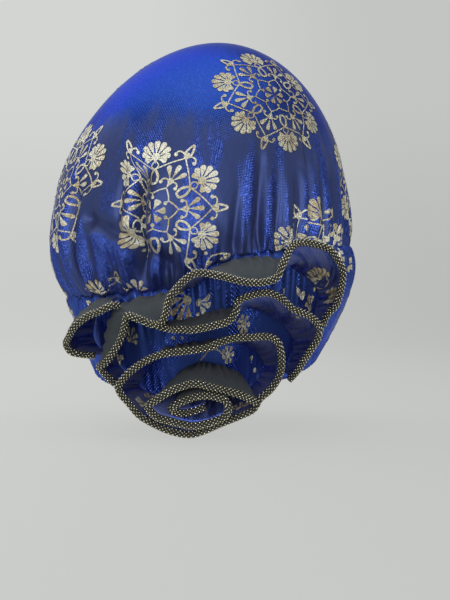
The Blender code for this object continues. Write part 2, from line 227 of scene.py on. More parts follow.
# %% Smooth curves
def smoothstep(low, high, value):
    """0 below low, 1 above high, and 3 s^2 - 2 s^3 of the share s between them."""
    share = np.clip((value - low) / (high - low), 0, 1)
    return share * share * (3 - 2 * share)


def catmull(values, closed, at):
    """Catmull-Rom curve through the rows of values, read at the row numbers in at."""
    values = np.asarray(values, float)
    count = len(values)
    first = np.floor(at).astype(int)
    if not closed:
        first = np.clip(first, 0, count - 2)
    share = (at - first)[:, None]
    picked = []
    for step in (-1, 0, 1, 2):
        index = first + step
        index = index % count if closed else np.clip(index, 0, count - 1)
        picked.append(values[index])
    before, here, after, beyond = picked
    return 0.5 * (
        2 * here
        + (after - before) * share
        + (2 * before - 5 * here + 4 * after - beyond) * share**2
        + (3 * here - before - 3 * after + beyond) * share**3
    )


def row_number(table, azimuth):
    """Where an azimuth is among the rows of a table whose first column is an azimuth."""
    starts = np.array([row[0] for row in table] + [table[0][0] + 360], float)
    wanted = (np.asarray(azimuth, float) - starts[0]) % 360 + starts[0]
    return np.interp(wanted, starts, np.arange(len(starts)))


def round_table(table, azimuth):
    """The other columns of such a table, smooth all the way round."""
    at = row_number(table, azimuth)
    values = catmull([row[1:] for row in table], True, at.ravel())
    return [column.reshape(at.shape) for column in values.T]


def sines(angle, *waves):
    """The sum of size * sin(count * angle + phase) over waves of (size, count, phase)."""
    return sum(size * np.sin(count * angle + phase) for size, count, phase in waves)


def wandering(angle, count, *sways):
    """A cosine with count waves, whose phase wanders by a sum of sines of the angle."""
    return np.cos(count * angle + sines(angle, *((size, turns, 0) for size, turns in sways)))


def run_along(line):
    """The distance along a line of points to each of them."""
    return np.append(0, np.cumsum(np.linalg.norm(np.diff(line, axis=0), axis=1)))


def read_line(line, run, at):
    """The columns of a line at distances along it, straight between its points."""
    return np.stack([np.interp(at, run, column) for column in line.T], axis=-1)


def unit(vectors):
    """Each vector divided by its own length."""
    return vectors / np.maximum(np.linalg.norm(vectors, axis=-1, keepdims=True), 1e-9)


ROSETTE_TURN = math.radians(ROSETTE_AZIMUTH)
RIGHT = np.array([math.cos(ROSETTE_TURN), math.sin(ROSETTE_TURN), 0.0])
OUT = np.array([math.sin(ROSETTE_TURN), -math.cos(ROSETTE_TURN), 0.0])
UP = np.array([0.0, 0.0, 1.0])
print("the rosette faces", OUT.round(3))

# %% [markdown]
# ## The dome as a function
# The dome is a leaning half-ellipsoid above its widest level and a shorter one below it.
# Gathering shows as valleys that fade on the way up, fine pleats close to the seam, and
# a few single creases where the cloth was pushed by hand. All of them are added to the
# radius, so the dome stays one smooth surface of azimuth and angle down from the top.


# %% Dome surface
def ellipse_radius(azimuth, half_width, half_depth):
    """Radius of an ellipse at an azimuth: 1 / hypot(sin / half width, cos / half depth)."""
    angle = np.radians(azimuth)
    return 1 / np.hypot(np.sin(angle) / half_width, np.cos(angle) / half_depth)


def at_azimuth(radius, azimuth, up, shift):
    """A point at a radius round the axis, moved sideways along the rosette's plane."""
    angle = np.radians(azimuth)
    left = radius * np.sin(angle) + shift * RIGHT[0]
    back = -radius * np.cos(angle) + shift * RIGHT[1]
    return np.stack([left, back, up], axis=-1)


def mm_beside(azimuth, place):
    """The mm of cloth from an azimuth to another, the short way round."""
    return ((azimuth - place + 180) % 360 - 180) * MM_PER_DEGREE


def outward(point, azimuth, down, step):
    """Outward unit normal of a surface: cross product of its steps down and round."""
    below = point(azimuth, down + step) - point(azimuth, down - step)
    beside = point(azimuth + ROUND_STEP, down) - point(azimuth - ROUND_STEP, down)
    return unit(np.cross(below, beside))


def seam_line(azimuth):
    """Height of the seam and how far the band puffs out, from the table and the waves."""
    seam_up, puff = round_table(SEAM, azimuth)
    return seam_up + sines(np.radians(azimuth), *SEAM_WAVES), puff


def seam_polar(azimuth):
    """How far down from the top the seam is, as an angle at the widest level's centre."""
    seam_up, _ = seam_line(azimuth)
    return np.pi / 2 + np.arcsin((CROWN_WIDEST_UP - seam_up) / CROWN_LOWER_HEIGHT)


def fold_field(azimuth, climb):
    """Gathered folds: a narrow-valleyed cosine from table row to table row, times its
    depth, down to a quarter of it at the seam, and fading out at the fold's reach."""
    depth, reach = round_table(FOLDS, azimuth)
    wave = (0.5 + 0.5 * np.cos(2 * np.pi * row_number(FOLDS, azimuth))) ** FOLD_SHARPNESS
    near_seam = 0.25 + 0.75 * smoothstep(0.0, 0.08, climb)
    fade = 1 - smoothstep(0.2, 1.0, climb / reach)
    return FOLD_GAIN * depth * (FOLD_LEVEL - wave) * near_seam * fade


def pleat_field(azimuth, climb):
    """Fine pleats: a wandering cosine that fades out over the first fifth or so of the
    way up, with a length that differs from pleat to pleat."""
    angle = np.radians(azimuth)
    wave = wandering(angle, PLEATS_ROUND, (2.4, 11), (1.3, 23))
    length = PLEAT_LENGTH + sines(angle, (0.07, 17, 1.0), (0.04, 41, 0))
    return PLEAT_DEPTH * wave * (1 - smoothstep(0.02, 1.0, climb / length))


def crease_field(azimuth, up, spread=0.0):
    """Single creases: for each, depth * exp(-(distance / reach)^2), with the distance
    measured on the unrolled dome from the straight line between the crease's ends."""
    total = np.zeros(np.broadcast(azimuth, up).shape)
    for start, start_up, end, end_up, depth, reach in CREASES:
        across = mm_beside(azimuth, start)
        rise = up - start_up
        run = np.array([(end - start) * MM_PER_DEGREE, end_up - start_up])
        share = np.clip((across * run[0] + rise * run[1]) / (run @ run), 0, 1)
        distance = np.hypot(across - share * run[0], rise - share * run[1])
        total -= depth * np.exp(-((distance / (reach + spread)) ** 2))
    return total


def tuck_fade(up, top, bottom):
    """1 between the ends of a tuck, 0 beyond them: two smoothsteps multiplied."""
    at_top = smoothstep(top + FADE_ABOVE, top - FADE_INSIDE, up)
    return at_top * smoothstep(bottom - FADE_BELOW, bottom, up)


def tuck_field(azimuth, up):
    """Deep tucks with a soft ridge on each side: two wide bells less a narrow one."""
    total = np.zeros(np.broadcast(azimuth, up).shape)
    for place, hidden, top, bottom, _ in TUCKS:
        across = mm_beside(azimuth, place)
        valley = np.exp(-((across / TUCK_REACH) ** 2))
        ridges = np.exp(-(((np.abs(across) - RIDGE_ASIDE) / RIDGE_REACH) ** 2))
        depth = TUCK_SHARE * hidden * tuck_fade(up, top, bottom)
        total += depth * (RIDGE_SHARE * ridges - valley)
    return total


def wave_field(azimuth, up):
    """Slack of the cloth: two slanting sines, which fade out towards the taut top."""
    waves = sines(np.radians(azimuth), (1, 7, 0.035 * up), (0.7, 12, 1 - 0.05 * up))
    return WAVE_DEPTH * waves * (1 - smoothstep(*TAUT_FROM, up))


def crown_up(polar):
    """Height of the dome's surface at an angle down from the top."""
    half = np.where(polar < np.pi / 2, CROWN_UPPER_HEIGHT, CROWN_LOWER_HEIGHT)
    return CROWN_WIDEST_UP + half * np.cos(polar)


def crown_detail(azimuth, polar):
    """All folds, pleats, creases and tucks in mm, and the height they are at."""
    up = crown_up(polar)
    climb = 1 - polar / seam_polar(azimuth)
    detail = fold_field(azimuth, climb) + pleat_field(azimuth, climb)
    return detail + crease_field(azimuth, up) + tuck_field(azimuth, up), up


def crown_point(azimuth, polar):
    """A point of the dome's outer face, at an angle down from the top."""
    azimuth, polar = np.broadcast_arrays(azimuth, polar)
    upper = polar < np.pi / 2
    detail, up = crown_detail(azimuth, polar)
    radius = np.sin(polar) ** np.where(upper, CROWN_SHOULDER_POWER, 1.0)
    radius = radius * ellipse_radius(azimuth, CROWN_HALF_WIDTH, CROWN_HALF_DEPTH)
    radius = radius + (detail + wave_field(azimuth, up)) * np.sin(polar)
    lean = CROWN_LEAN * np.clip(np.cos(polar), 0, 1) ** CROWN_LEAN_POWER
    return at_azimuth(radius, azimuth, up, lean)


def crown_normal(azimuth, polar):
    """Outward unit normal of the dome, with all its folds."""
    return outward(crown_point, azimuth, polar, CROWN_STEP)


print("top of the dome at", crown_point(0.0, 0.0).round(1), "mm")

# %% [markdown]
# ## The band as a function
# The band hangs from the seam to the rim of the head opening. It puffs out between the
# two, most at the front, because its elastic pulls the rim in.


# %% Band surface
BAND_GATHERS = 104
GATHER_DEPTH = 0.9
ELASTIC_SHARE = 0.6
BAND_SLACK = 0.8


def rim_up(azimuth):
    """Height of the rim, which is lower at the nape than at the forehead."""
    rim = ellipse_radius(azimuth, RIM_HALF_WIDTH, RIM_HALF_DEPTH)
    angle = np.radians(azimuth)
    lower = -RIM_SLOPE_BACK * rim * np.cos(angle)
    return RIM_UP + lower + RIM_SLOPE_LEFT * rim * np.sin(angle)


def band_profile(azimuth, down):
    """(radius, height) of the band's plain outer face, from the seam (0) to the rim (1):
    a straight line between the two radii, plus the puff times a sine."""
    seam_up, puff = seam_line(azimuth)
    top_up = seam_up - GAP
    top = np.sin(seam_polar(azimuth))
    top = top * ellipse_radius(azimuth, CROWN_HALF_WIDTH, CROWN_HALF_DEPTH)
    rim = ellipse_radius(azimuth, RIM_HALF_WIDTH, RIM_HALF_DEPTH)
    radius = top + (rim - top) * down + puff * np.sin(np.pi * np.clip(down, 0, 1) ** PUFF_POWER)
    return radius, top_up + (rim_up(azimuth) - top_up) * down


def gather_field(azimuth, down):
    """Gathers of the band: a wandering cosine, deep at the seam and at the elastic, plus
    a slanting wave that is widest halfway."""
    angle = np.radians(azimuth)
    wave = wandering(angle, BAND_GATHERS, (2.0, 9), (1.5, 26))
    at_seam = 1 - smoothstep(0.05, 0.55, down)
    at_rim = ELASTIC_SHARE * smoothstep(0.7, 1.0, down)
    slack = BAND_SLACK * np.sin(13 * angle + 5 * down) * np.sin(np.pi * down)
    return GATHER_DEPTH * wave * (at_seam + at_rim) + slack


def band_point(azimuth, down):
    """A point of the band's outer face, from the seam (0) to the rim (1)."""
    azimuth, down = np.broadcast_arrays(azimuth, down)
    radius, height = band_profile(azimuth, down)
    radius = radius + gather_field(azimuth, down)
    return at_azimuth(radius, azimuth, height, RIM_SHIFT * down)


def band_normal(azimuth, down):
    """Outward unit normal of the band, with its gathers."""
    return outward(band_point, azimuth, down, BAND_STEP)


def band_out(right, up):
    """How far out the band is behind each point of the rosette's plane, found by going
    halfway to the band's radius twelve times."""
    out = np.full(len(right), CROWN_HALF_DEPTH)
    aside = np.asarray(right, float)
    for _ in range(12):
        azimuth = ROSETTE_AZIMUTH + np.degrees(np.arctan2(aside, out))
        seam_up, _ = round_table(SEAM, azimuth)
        down = np.clip((seam_up - up) / (seam_up - rim_up(azimuth)), 0, 1)
        aside = right - RIM_SHIFT * down
        radius, _ = band_profile(azimuth, down)
        out = 0.5 * out + 0.5 * np.sqrt(np.maximum(radius**2 - aside**2, 100.0))
    return out


print("rim from", rim_up(180.0).round(1), "to", rim_up(0.0).round(1), "mm")

# %% [markdown]
# ## The ruffles as functions
# A ruffle is one straight strip, gathered along its sewn side. Its free edge is longer
# than its sewn line, so it waves. The strip has one width: where its edge goes sideways
# it stands out less. Between the sewn line and the edge it bends on a quadratic curve.


# %% Ruffle curves
FINE_STEPS = 40
EDGE_STEP = 1.0
# The share of an open strip's length over which its ends narrow, and the middle line's
# shares of the width outwards and of the way to the edge
ENDS_REACH = 0.2
BOW_OUT = 0.5
BOW_ON = 0.1
PLEAT_RISE = 1.5
PLEAT_PITCH = 8.5


def in_frame(right, up, out):
    """A point given on the rosette's own axes, in the turban's frame."""
    return right[:, None] * RIGHT + up[:, None] * UP + out[:, None] * OUT


def ruffle_curves(table, closed, strip_width, start_share, end_share):
    """Sewn line, middle line and free edge, at even steps along the free edge."""
    rows = len(table)
    turns = rows if closed else rows - 1
    fine = np.linspace(0, turns, FINE_STEPS * rows)
    base_right, base_up, edge_right, edge_up = catmull(table, closed, fine).T
    base_out = band_out(base_right, base_up)
    along = fine / turns
    share = np.ones_like(fine)
    if not closed:
        share = share - (1 - start_share) * (1 - smoothstep(0, ENDS_REACH, along))
        share = share - (1 - end_share) * smoothstep(1 - ENDS_REACH, 1, along)
    width = strip_width * share
    shift = np.hypot(edge_right - base_right, edge_up - base_up)
    rise = np.sqrt(np.maximum(width**2 - shift**2, (LEAST_RISE * width) ** 2))
    base = in_frame(base_right, base_up, base_out)
    away = unit(base * [1, 1, 0])
    base = base + away * BASE_CLEARANCE
    edge = in_frame(edge_right, edge_up, base_out + rise)
    middle = base + away * (BOW_OUT * width)[:, None] + BOW_ON * (edge - base)
    run = run_along(edge)
    wanted = np.linspace(0, run[-1], round(run[-1] / EDGE_STEP) + 1)
    return wanted, [read_line(line, run, wanted) for line in (base, middle, edge)]


def beyond_edge(lines, closed, distance):
    """The line that far beyond the free edge, square to the edge in the sheet's plane,
    with the unit vectors along it and onward from the sheet."""
    _, middle, edge = lines
    if closed:
        ring = edge[:-1]
        along = np.roll(ring, -1, axis=0) - np.roll(ring, 1, axis=0)
        along = np.vstack([along, along[:1]])
    else:
        along = np.gradient(edge, axis=0)
    along = unit(along)
    onward = edge - middle
    onward = unit(onward - along * np.sum(onward * along, axis=1)[:, None])
    return edge + onward * distance, along, onward


class Strip:
    """One ruffle's sheet as a surface of the distance along its edge and the share of
    the way from its sewn line (0) to its edge (1)."""

    def __init__(self, name, table, closed, width, start_share, end_share, printed):
        self.name, self.closed, self.width, self.printed = name, closed, width, printed
        self.run, self.lines = ruffle_curves(table, closed, width, start_share, end_share)
        self.length = self.run[-1]

    def flat_point(self, along, share):
        """(1-t)^2 sewn + 2 t (1-t) middle + t^2 edge."""
        base, middle, edge = (read_line(line, self.run, along) for line in self.lines)
        t = share[..., None]
        return (1 - t) ** 2 * base + 2 * t * (1 - t) * middle + t**2 * edge

    def flat_normal(self, along, share):
        """Unit normal of the unpleated sheet: the step along it crossed with the step
        from the sewn line to the edge."""
        ahead, behind = along + ALONG_STEP, along - ALONG_STEP
        if self.closed:
            ahead, behind = ahead % self.length, behind % self.length
        else:
            ahead, behind = np.minimum(ahead, self.length), np.maximum(behind, 0)
        step = self.flat_point(ahead, share) - self.flat_point(behind, share)
        onward = self.flat_point(along, share + ONWARD_STEP)
        onward = onward - self.flat_point(along, share - ONWARD_STEP)
        return unit(np.cross(step, onward))

    def pleats(self, along, share):
        """Pleats that run out from the sewn line: a wandering cosine times (1 - t)."""
        count = round(self.length / PLEAT_PITCH)
        wave = wandering(2 * np.pi * along / self.length, count, (1.7, 5), (1.1, 9))
        return PLEAT_RISE * wave * smoothstep(0.0, 0.12, share) * (1 - share) ** 1.2

    def point(self, along, share, lift):
        """The pleated sheet, lifted off its middle towards its printed side."""
        along, share = np.broadcast_arrays(along, share)
        lift = lift * self.printed + self.pleats(along, share)
        sheet = self.flat_point(along, share)
        return sheet + self.flat_normal(along, share) * lift[..., None]


strips = [Strip(*row) for row in RUFFLES]
for strip in strips:
    print(strip.name, "is", round(float(strip.length)), "mm along its free edge")

# %% [markdown]
# ## From grids to meshes
# A surface of two parameters is a grid of points. Its quads are index arithmetic, worked
# out for the whole grid at once. A closed shell has a volume, and its sign says whether
# the faces point outwards, so no normals need to be guessed.


# %% Mesh makers
def grid_quads(columns, rows):
    """Corners (i, j), (i+1, j), (i+1, j+1), (i, j+1) of every quad of a grid."""
    i, j = np.meshgrid(np.arange(columns - 1), np.arange(rows - 1), indexing="ij")
    i, j = i.ravel(), j.ravel()
    return np.stack([i, i + 1, i + 1, i], axis=1), np.stack([j, j, j + 1, j + 1], axis=1)


def signed_volume(points, faces):
    """A sixth of the sum of a . (b x c) over the triangles of every face."""
    total = 0.0
    for part in faces:
        a = points[part[:, 0]]
        for k in range(1, part.shape[1] - 1):
            b, c = points[part[:, k]], points[part[:, k + 1]]
            total += np.sum(a * np.cross(b, c))
    return total / 6


def make_piece(name, points, faces, corner_uv, looks, slots=None, relief=None):
    """A mesh object from points in mm, arrays of faces with equally many corners and the
    UVs of those. relief is how far each point stands out of the smooth form, -1 to 1."""
    mesh = bpy.data.meshes.new(name)
    mesh.from_pydata((points * MM).tolist(), [], [f for part in faces for f in part.tolist()])
    flat = np.concatenate([uv.ravel() for uv in corner_uv]).astype(np.float32)
    mesh.uv_layers.new(name="UVMap").uv.foreach_set("vector", flat)
    for look in looks:
        mesh.materials.append(look)
    if slots is not None:
        mesh.polygons.foreach_set("material_index", slots.astype(np.int32))
    mesh.polygons.foreach_set("use_smooth", np.ones(len(mesh.polygons), bool))
    if relief is not None:
        layer = mesh.attributes.new("relief", "FLOAT", "POINT")
        layer.data.foreach_set("value", relief.astype(np.float32))
    mesh.update()
    piece = bpy.data.objects.new(name, mesh)
    bpy.context.scene.collection.objects.link(piece)
    mesh.calc_loop_triangles()
    print(name, len(mesh.loop_triangles), "triangles")
    return piece


def turned_over(groups):
    """The same faces, or corner UVs, in the opposite order."""
    return [part[:, ::-1] for part in groups]


def close_grid(points, uv, wrap_rows, poles=(None, None), capped=False):
    """Corners, faces and UVs of a shell from a grid, and the grid's row at each face.

    The first column of points and uv meets their last one, and the first row meets the
    last where rows wrap: the grid holds these twice. poles are points that close the
    first and the last row. capped closes the two ends of a strip instead, whose columns
    don't meet.
    """
    columns, rows = points.shape[:2]
    i, j = grid_quads(columns, rows)
    kept_columns, kept_rows = columns - (not capped), rows - wrap_rows
    corners = points[:kept_columns, :kept_rows].reshape(-1, 3)
    faces = [(i % kept_columns) * kept_rows + j % kept_rows]
    uvs, face_rows = [uv[i, j]], [j[:, 0]]
    left = np.arange(kept_columns)
    right = (left + 1) % kept_columns
    for row, pole, flip in ((0, poles[0], 1), (rows - 1, poles[1], -1)):
        if pole is not None:
            top = np.full(kept_columns, len(corners))
            fan = np.stack([left * kept_rows + row, top, right * kept_rows + row], axis=1)
            middle = np.repeat(uv[:-1, row].mean(0)[None], kept_columns, axis=0)
            fan_uv = np.stack([uv[:-1, row], middle, uv[1:, row]], axis=1)
            faces.append(fan[:, ::flip])
            uvs.append(fan_uv[:, ::flip])
            face_rows.append(np.full(kept_columns, row))
            corners = np.vstack([corners, pole])
    if capped:
        near = np.arange(kept_rows // 2 - 1)
        far = kept_rows - 1 - near
        cap = np.stack([near, near + 1, far - 1, far], axis=1)
        for column, flip in ((0, 1), (columns - 1, -1)):
            faces.append((column * kept_rows + cap)[:, ::flip])
            uvs.append(uv[column][cap][:, ::flip])
            face_rows.append(np.zeros(len(cap)))
    if signed_volume(corners, faces) < 0:
        faces, uvs = turned_over(faces), turned_over(uvs)
    return corners, faces, uvs, np.concatenate(face_rows)


def make_cloth(name, shell, lame, wrong_side_row, wrap_rows, poles=(None, None), capped=False):
    """A piece of cloth from a closed grid's points, UVs and relief: printed lamé up to
    one row, and from there on the wrong side."""
    points, uv, relief = shell
    corners, faces, uvs, face_rows = close_grid(points, uv, wrap_rows, poles, capped)
    kept = relief[: len(relief) - (not capped), : relief.shape[1] - wrap_rows]
    relief = np.append(kept.ravel(), np.zeros(len(corners) - kept.size))
    slots = face_rows >= wrong_side_row
    return make_piece(name, corners, faces, uvs, [lame, lining], slots, relief)


def hand_over(piece, slot, *nodes):
    """Lets a piece ride on the turban's one body and stand for its CAD nodes."""
    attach(piece, "root")
    if nodes:
        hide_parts(*nodes)
    return piece


print("mesh makers ready")

# %% [markdown]
# ## Shader maths as Python
# A material is a network of nodes. Written as calls it is hard to read, so a small class
# wraps each output socket and overloads the operators: `1 - mask` adds its own Math node.


# %% A wrapped socket and a material with one node method
class Wire:
    """An output socket whose arithmetic adds Math nodes."""

    def __init__(self, paint, socket):
        self.paint, self.socket = paint, socket

    def __add__(self, other):
        return self.paint.math("ADD", self, other)

    def __sub__(self, other):
        return self.paint.math("SUBTRACT", self, other)

    def __rsub__(self, other):
        return self.paint.math("SUBTRACT", other, self)

    def __mul__(self, other):
        return self.paint.math("MULTIPLY", self, other)

    def __truediv__(self, other):
        return self.paint.math("DIVIDE", self, other)

    def __rtruediv__(self, other):
        return self.paint.math("DIVIDE", other, self)

    def __pow__(self, other):
        return self.paint.math("POWER", self, other)

    def __rpow__(self, other):
        return self.paint.math("POWER", other, self)

    __radd__, __rmul__ = __add__, __mul__

    def sine(self):
        return self.paint.math("SINE", self)

    def ramp(self, low, high):
        """0 at low, 1 at high, smooth between."""
        inputs = {"Value": self, "From Min": low, "From Max": high}
        settings = {"interpolation_type": "SMOOTHSTEP"}
        return self.paint.add("ShaderNodeMapRange", settings, inputs)


class Paint:
    """A material with its Principled shader, and one method that adds any node."""

    def __init__(self, name, **constants):
        self.material = bpy.data.materials.new(name)
        self.material.use_nodes = True
        self.tree = self.material.node_tree
        self.shader = self.tree.nodes["Principled BSDF"]
        for socket, value in constants.items():
            self.shader.inputs[socket.replace("_", " ")].default_value = value

    def add(self, kind, settings=None, inputs=None, output=0):
        """A node of a kind, with its settings and the values or wires of its sockets."""
        node = self.tree.nodes.new(kind)
        for setting, value in (settings or {}).items():
            setattr(node, setting, value)
        for key, value in (inputs or {}).items():
            if isinstance(value, Wire):
                self.tree.links.new(value.socket, node.inputs[key])
            else:
                node.inputs[key].default_value = value
        return Wire(self, node.outputs[output])

    def feed(self, socket, wire):
        self.tree.links.new(wire.socket, self.shader.inputs[socket])

    def math(self, operation, *values):
        return self.add("ShaderNodeMath", {"operation": operation}, dict(enumerate(values)))

    def cloth_place(self):
        """The piece's own UV map, which is in millimetres of cloth, and its two
        coordinates one by one."""
        place = self.add("ShaderNodeUVMap", {"uv_map": "UVMap"})
        u, v = (self.add("ShaderNodeSeparateXYZ", None, {0: place}, axis) for axis in "XY")
        return place, u, v

    def weave(self, u, v, pitch):
        """Two crossed sines of u and of v, each with the same pitch."""
        return (u * (2 * math.pi / pitch)).sine() * (v * (2 * math.pi / pitch)).sine()

    def noise(self, place, scale, detail=2.0, roughness=0.5):
        inputs = {"Vector": place, "Scale": scale, "Detail": detail, "Roughness": roughness}
        return self.add("ShaderNodeTexNoise", None, inputs)

    def cells(self, place, scale, output):
        inputs = {"Vector": place, "Scale": scale}
        return self.add("ShaderNodeTexVoronoi", None, inputs, output)

    def blend(self, factor, one, two):
        """A Mix node on two colours, each a tuple or a wire."""
        one, two = (value if isinstance(value, Wire) else (*value, 1) for value in (one, two))
        return self.add("ShaderNodeMix", {"data_type": "RGBA"}, {0: factor, 6: one, 7: two}, 2)

    def bump(self, height, distance, strength, under=None):
        inputs = {"Height": height, "Distance": distance, "Strength": strength}
        if under is not None:
            inputs["Normal"] = under
        return self.add("ShaderNodeBump", None, inputs)


print("paint method ready")

# %% [markdown]
# ## The lamé
# Lamé is a knit with a flat metallic yarn: each stitch is a small mirror that catches
# the light on its own, in slanting rows, and between the rows lies dark navy ground. A
# picture texture would be quick but would blur, so the rows are sines of the cloth's own
# coordinates, and cells decide which stitches get a painted glint. Light and shade are
# painted into the colour as well: lit royal blue on the dome's cap, shaded navy below it,
# and painted shade in the valleys.

# %% Printed lamé, right side
# Painted light and shade: the first colour is the lamé lit on the dome's cap and on lit streaks; the next
# three are it in painted shade, lighter on the band and on the ruffles' faces to paint light into their
# deeper shade
LIT_ROYAL = (0.012, 0.054, 0.33)
SHADED_NAVY = (0.053, 0.079, 0.235)
BAND_SHADED_NAVY = (0.044, 0.100, 0.43)
FACE_SHADED_NAVY = (0.095, 0.118, 0.33)
# Painted shade in the valleys, and also the knit's own darker ground between stitch rows
VALLEY_SHADE_AND_ROWS = (0.048, 0.064, 0.17)
FACE_VALLEY_SHADE_AND_ROWS = (0.115, 0.125, 0.19)
# A painted glint: the colour of the stitches chosen to catch the light
GLINT = (0.11, 0.19, 0.84)
EDGE_TINT = (0.25, 0.35, 0.9, 1)
STITCH_PITCH = 1.5
# Scale of the streaks' noise round the dome, to a radian, and down it, to a mm
DOME_STREAKS = (6.5, 0.02)
# The same along and across a strip, both to a mm
STRIP_STREAKS = (0.09, 0.025)
# Where the painted light of the dome's bright cap ends, in mm from the top, and how far its edge wanders
CAP_EDGE = (109, 132)
CAP_WANDER = 50


def streak_noise(paint, **inputs):
    """Noise on a place whose X, Y and Z are given one by one."""
    return paint.noise(paint.add("ShaderNodeCombineXYZ", None, inputs), 1.0, 3.0, 0.6)


def dome_streaks(paint, u, v):
    """Streaks that run down the dome: noise on (sin, cos, distance from the top), and the
    share of painted shade, which grows from the lit cap downwards."""
    around, along = DOME_STREAKS
    down = (u * u + v * v) ** 0.5
    streaks = streak_noise(paint, X=u / down * around, Y=v / down * around, Z=down * along)
    return streaks, (down + (0.5 - streaks) * CAP_WANDER).ramp(*CAP_EDGE)


def strip_streaks(paint, u, v):
    """Streaks that run across a strip, from its sewn side to its edge, and a share of painted shade of 1 all
    over.
    """
    return streak_noise(paint, X=u * STRIP_STREAKS[0], Y=v * STRIP_STREAKS[1]), 1.0


def make_lame(name, find_streaks, shaded_colour, dark, metal, shine):
    """Lamé with light and shade painted into its colour: lit royal blue on the cap and on lit
    streaks, shaded navy below, painted shade in the valleys, and painted glints on the
    ridges stitch by stitch. metal is how metallic it is in the shaded part. shine is the
    ground's own gloss."""
    paint = Paint(name, Sheen_Weight=0.06, Sheen_Roughness=0.6, Specular_IOR_Level=shine)
    paint.shader.inputs["Specular Tint"].default_value = EDGE_TINT
    place, u, v = paint.cloth_place()
    relief = paint.add("ShaderNodeAttribute", {"attribute_name": "relief"}, None, "Fac")
    slant = 2 * math.pi / (STITCH_PITCH * math.sqrt(2))
    rows = ((u + v) * slant).sine() * 0.5 + 0.5
    ribs = ((u - v) * slant).sine() * 0.5 + 0.5
    stitch = rows * ribs
    streaks, low = find_streaks(paint, u, v)
    luck = paint.cells(place, 0.9, "Color")
    # Lit streaks of painted light on the shaded part, more of them on the ridges
    lit = (streaks + relief * 0.16).ramp(0.45, 0.60) * low
    spark = luck * 0.8 + stitch * 0.5
    glint = spark.ramp(0.45, 0.85) * lit + spark.ramp(0.7, 1.1) * (1 - low) * 0.35
    # Painted light and shade: lit royal on the cap, shaded below, the lit streaks painted lighter, and
    # painted shade in the valleys; the rows are the knit's own pattern
    ground = paint.blend(low, LIT_ROYAL, shaded_colour)
    ground = paint.blend(lit * 0.6, ground, LIT_ROYAL)
    ground = paint.blend((relief * -1.0).ramp(0.15, 1.3) * 0.55, ground, dark)
    ground = paint.blend(rows * 0.3, ground, dark)
    # Painted glints on the chosen stitches
    paint.feed("Base Color", paint.blend(glint, ground, GLINT))
    paint.feed("Metallic", (1 - low * (1 - lit)) * (0.92 - metal) + metal)
    paint.feed("Roughness", low * (1 - lit) * 0.12 + 0.31 - glint * 0.06)
    soft = paint.bump(paint.noise(place, 0.07, 2.0), 0.0006, 0.5)
    soft = paint.bump(streaks, 0.0012, 0.5, soft)
    paint.feed("Normal", paint.bump(stitch * (lit * 2 + 1), 0.00009, 0.8, soft))
    return paint.material


crown_lame = make_lame("crown lame", dome_streaks, SHADED_NAVY, VALLEY_SHADE_AND_ROWS, 0.6, 0.5)
band_lame = make_lame("band lame", strip_streaks, BAND_SHADED_NAVY, VALLEY_SHADE_AND_ROWS, 0.6, 0.5)
strip_lame = make_lame("ruffle lame", strip_streaks, FACE_SHADED_NAVY, FACE_VALLEY_SHADE_AND_ROWS, 0.25, 0.1)
print("lame ready")

# %% [markdown]
# ## The wrong side
# The ruffles' outer side shows the wrong side of the cloth: a matt charcoal knit with a
# green cast, without metallic yarn. It gets a fine woven bump and faintly worn patches.

# %% Charcoal wrong side
CHARCOAL = (0.025, 0.036, 0.047)
CHARCOAL_WORN = (0.034, 0.048, 0.058)
LOOP_PITCH = 0.9


def make_lining():
    """Matt knit: two crossed sines for the loops, slow noise for the worn patches."""
    paint = Paint("charcoal wrong side", Metallic=0.0, Sheen_Weight=0.1, Sheen_Roughness=0.5)
    place, u, v = paint.cloth_place()
    loops = paint.weave(u, v, LOOP_PITCH)
    patch = paint.noise(place, 0.12, 4.0)
    paint.feed("Base Color", paint.blend(patch.ramp(0.35, 0.7), CHARCOAL, CHARCOAL_WORN))
    paint.feed("Roughness", patch * 0.15 + 0.7)
    paint.feed("Normal", paint.bump(loops, 0.0002, 0.6))
    return paint.material


lining = make_lining()
print("wrong side ready")

# %% [markdown]
# ## The dome's cloth
# The dome is one closed shell: its rows run from the top down the outer face, turn under
# at the seam and climb back inside, so the wall has its thickness without a modifier and
# each side can have its own material.

# %% Dome
CROWN_COLUMNS = 700
CROWN_ROWS = 98
CROWN_INNER_ROWS = 38
# Under a crease the inner face keeps clear of it by this share of its depth, and by this
# much more to each side than the crease reaches
CREASE_CLEARANCE = 0.8
CREASE_SPREAD = 3.0
FULL_RELIEF = 3.0


def crown_shell():
    """Points, UVs and relief of the dome's shell, outer face first."""
    azimuth = np.linspace(0, 360, CROWN_COLUMNS + 1)[:, None]
    seam = seam_polar(azimuth)
    polar = seam * np.linspace(0, 1, CROWN_ROWS + 1)[1:]
    inner_polar = seam * np.linspace(1, 0, CROWN_INNER_ROWS + 1)[:-1]
    inner = crown_point(azimuth, inner_polar)
    creased = np.maximum(-crease_field(azimuth, inner[..., 2], CREASE_SPREAD), 0)
    clear = CROWN_WALL + CREASE_CLEARANCE * creased
    inner = inner - crown_normal(azimuth, inner_polar) * clear[..., None]
    points = np.concatenate([crown_point(azimuth, polar), inner], axis=1)
    points[-1] = points[0]
    around = np.radians(azimuth)
    reach = np.concatenate([polar, inner_polar], axis=1) * MM_PER_RADIAN
    uv = np.stack([reach * np.sin(around), -reach * np.cos(around)], axis=-1)
    relief = np.clip(crown_detail(azimuth, polar)[0] / FULL_RELIEF, -1, 1)
    return points, uv, np.concatenate([relief, 0 * inner[..., 0]], axis=1)


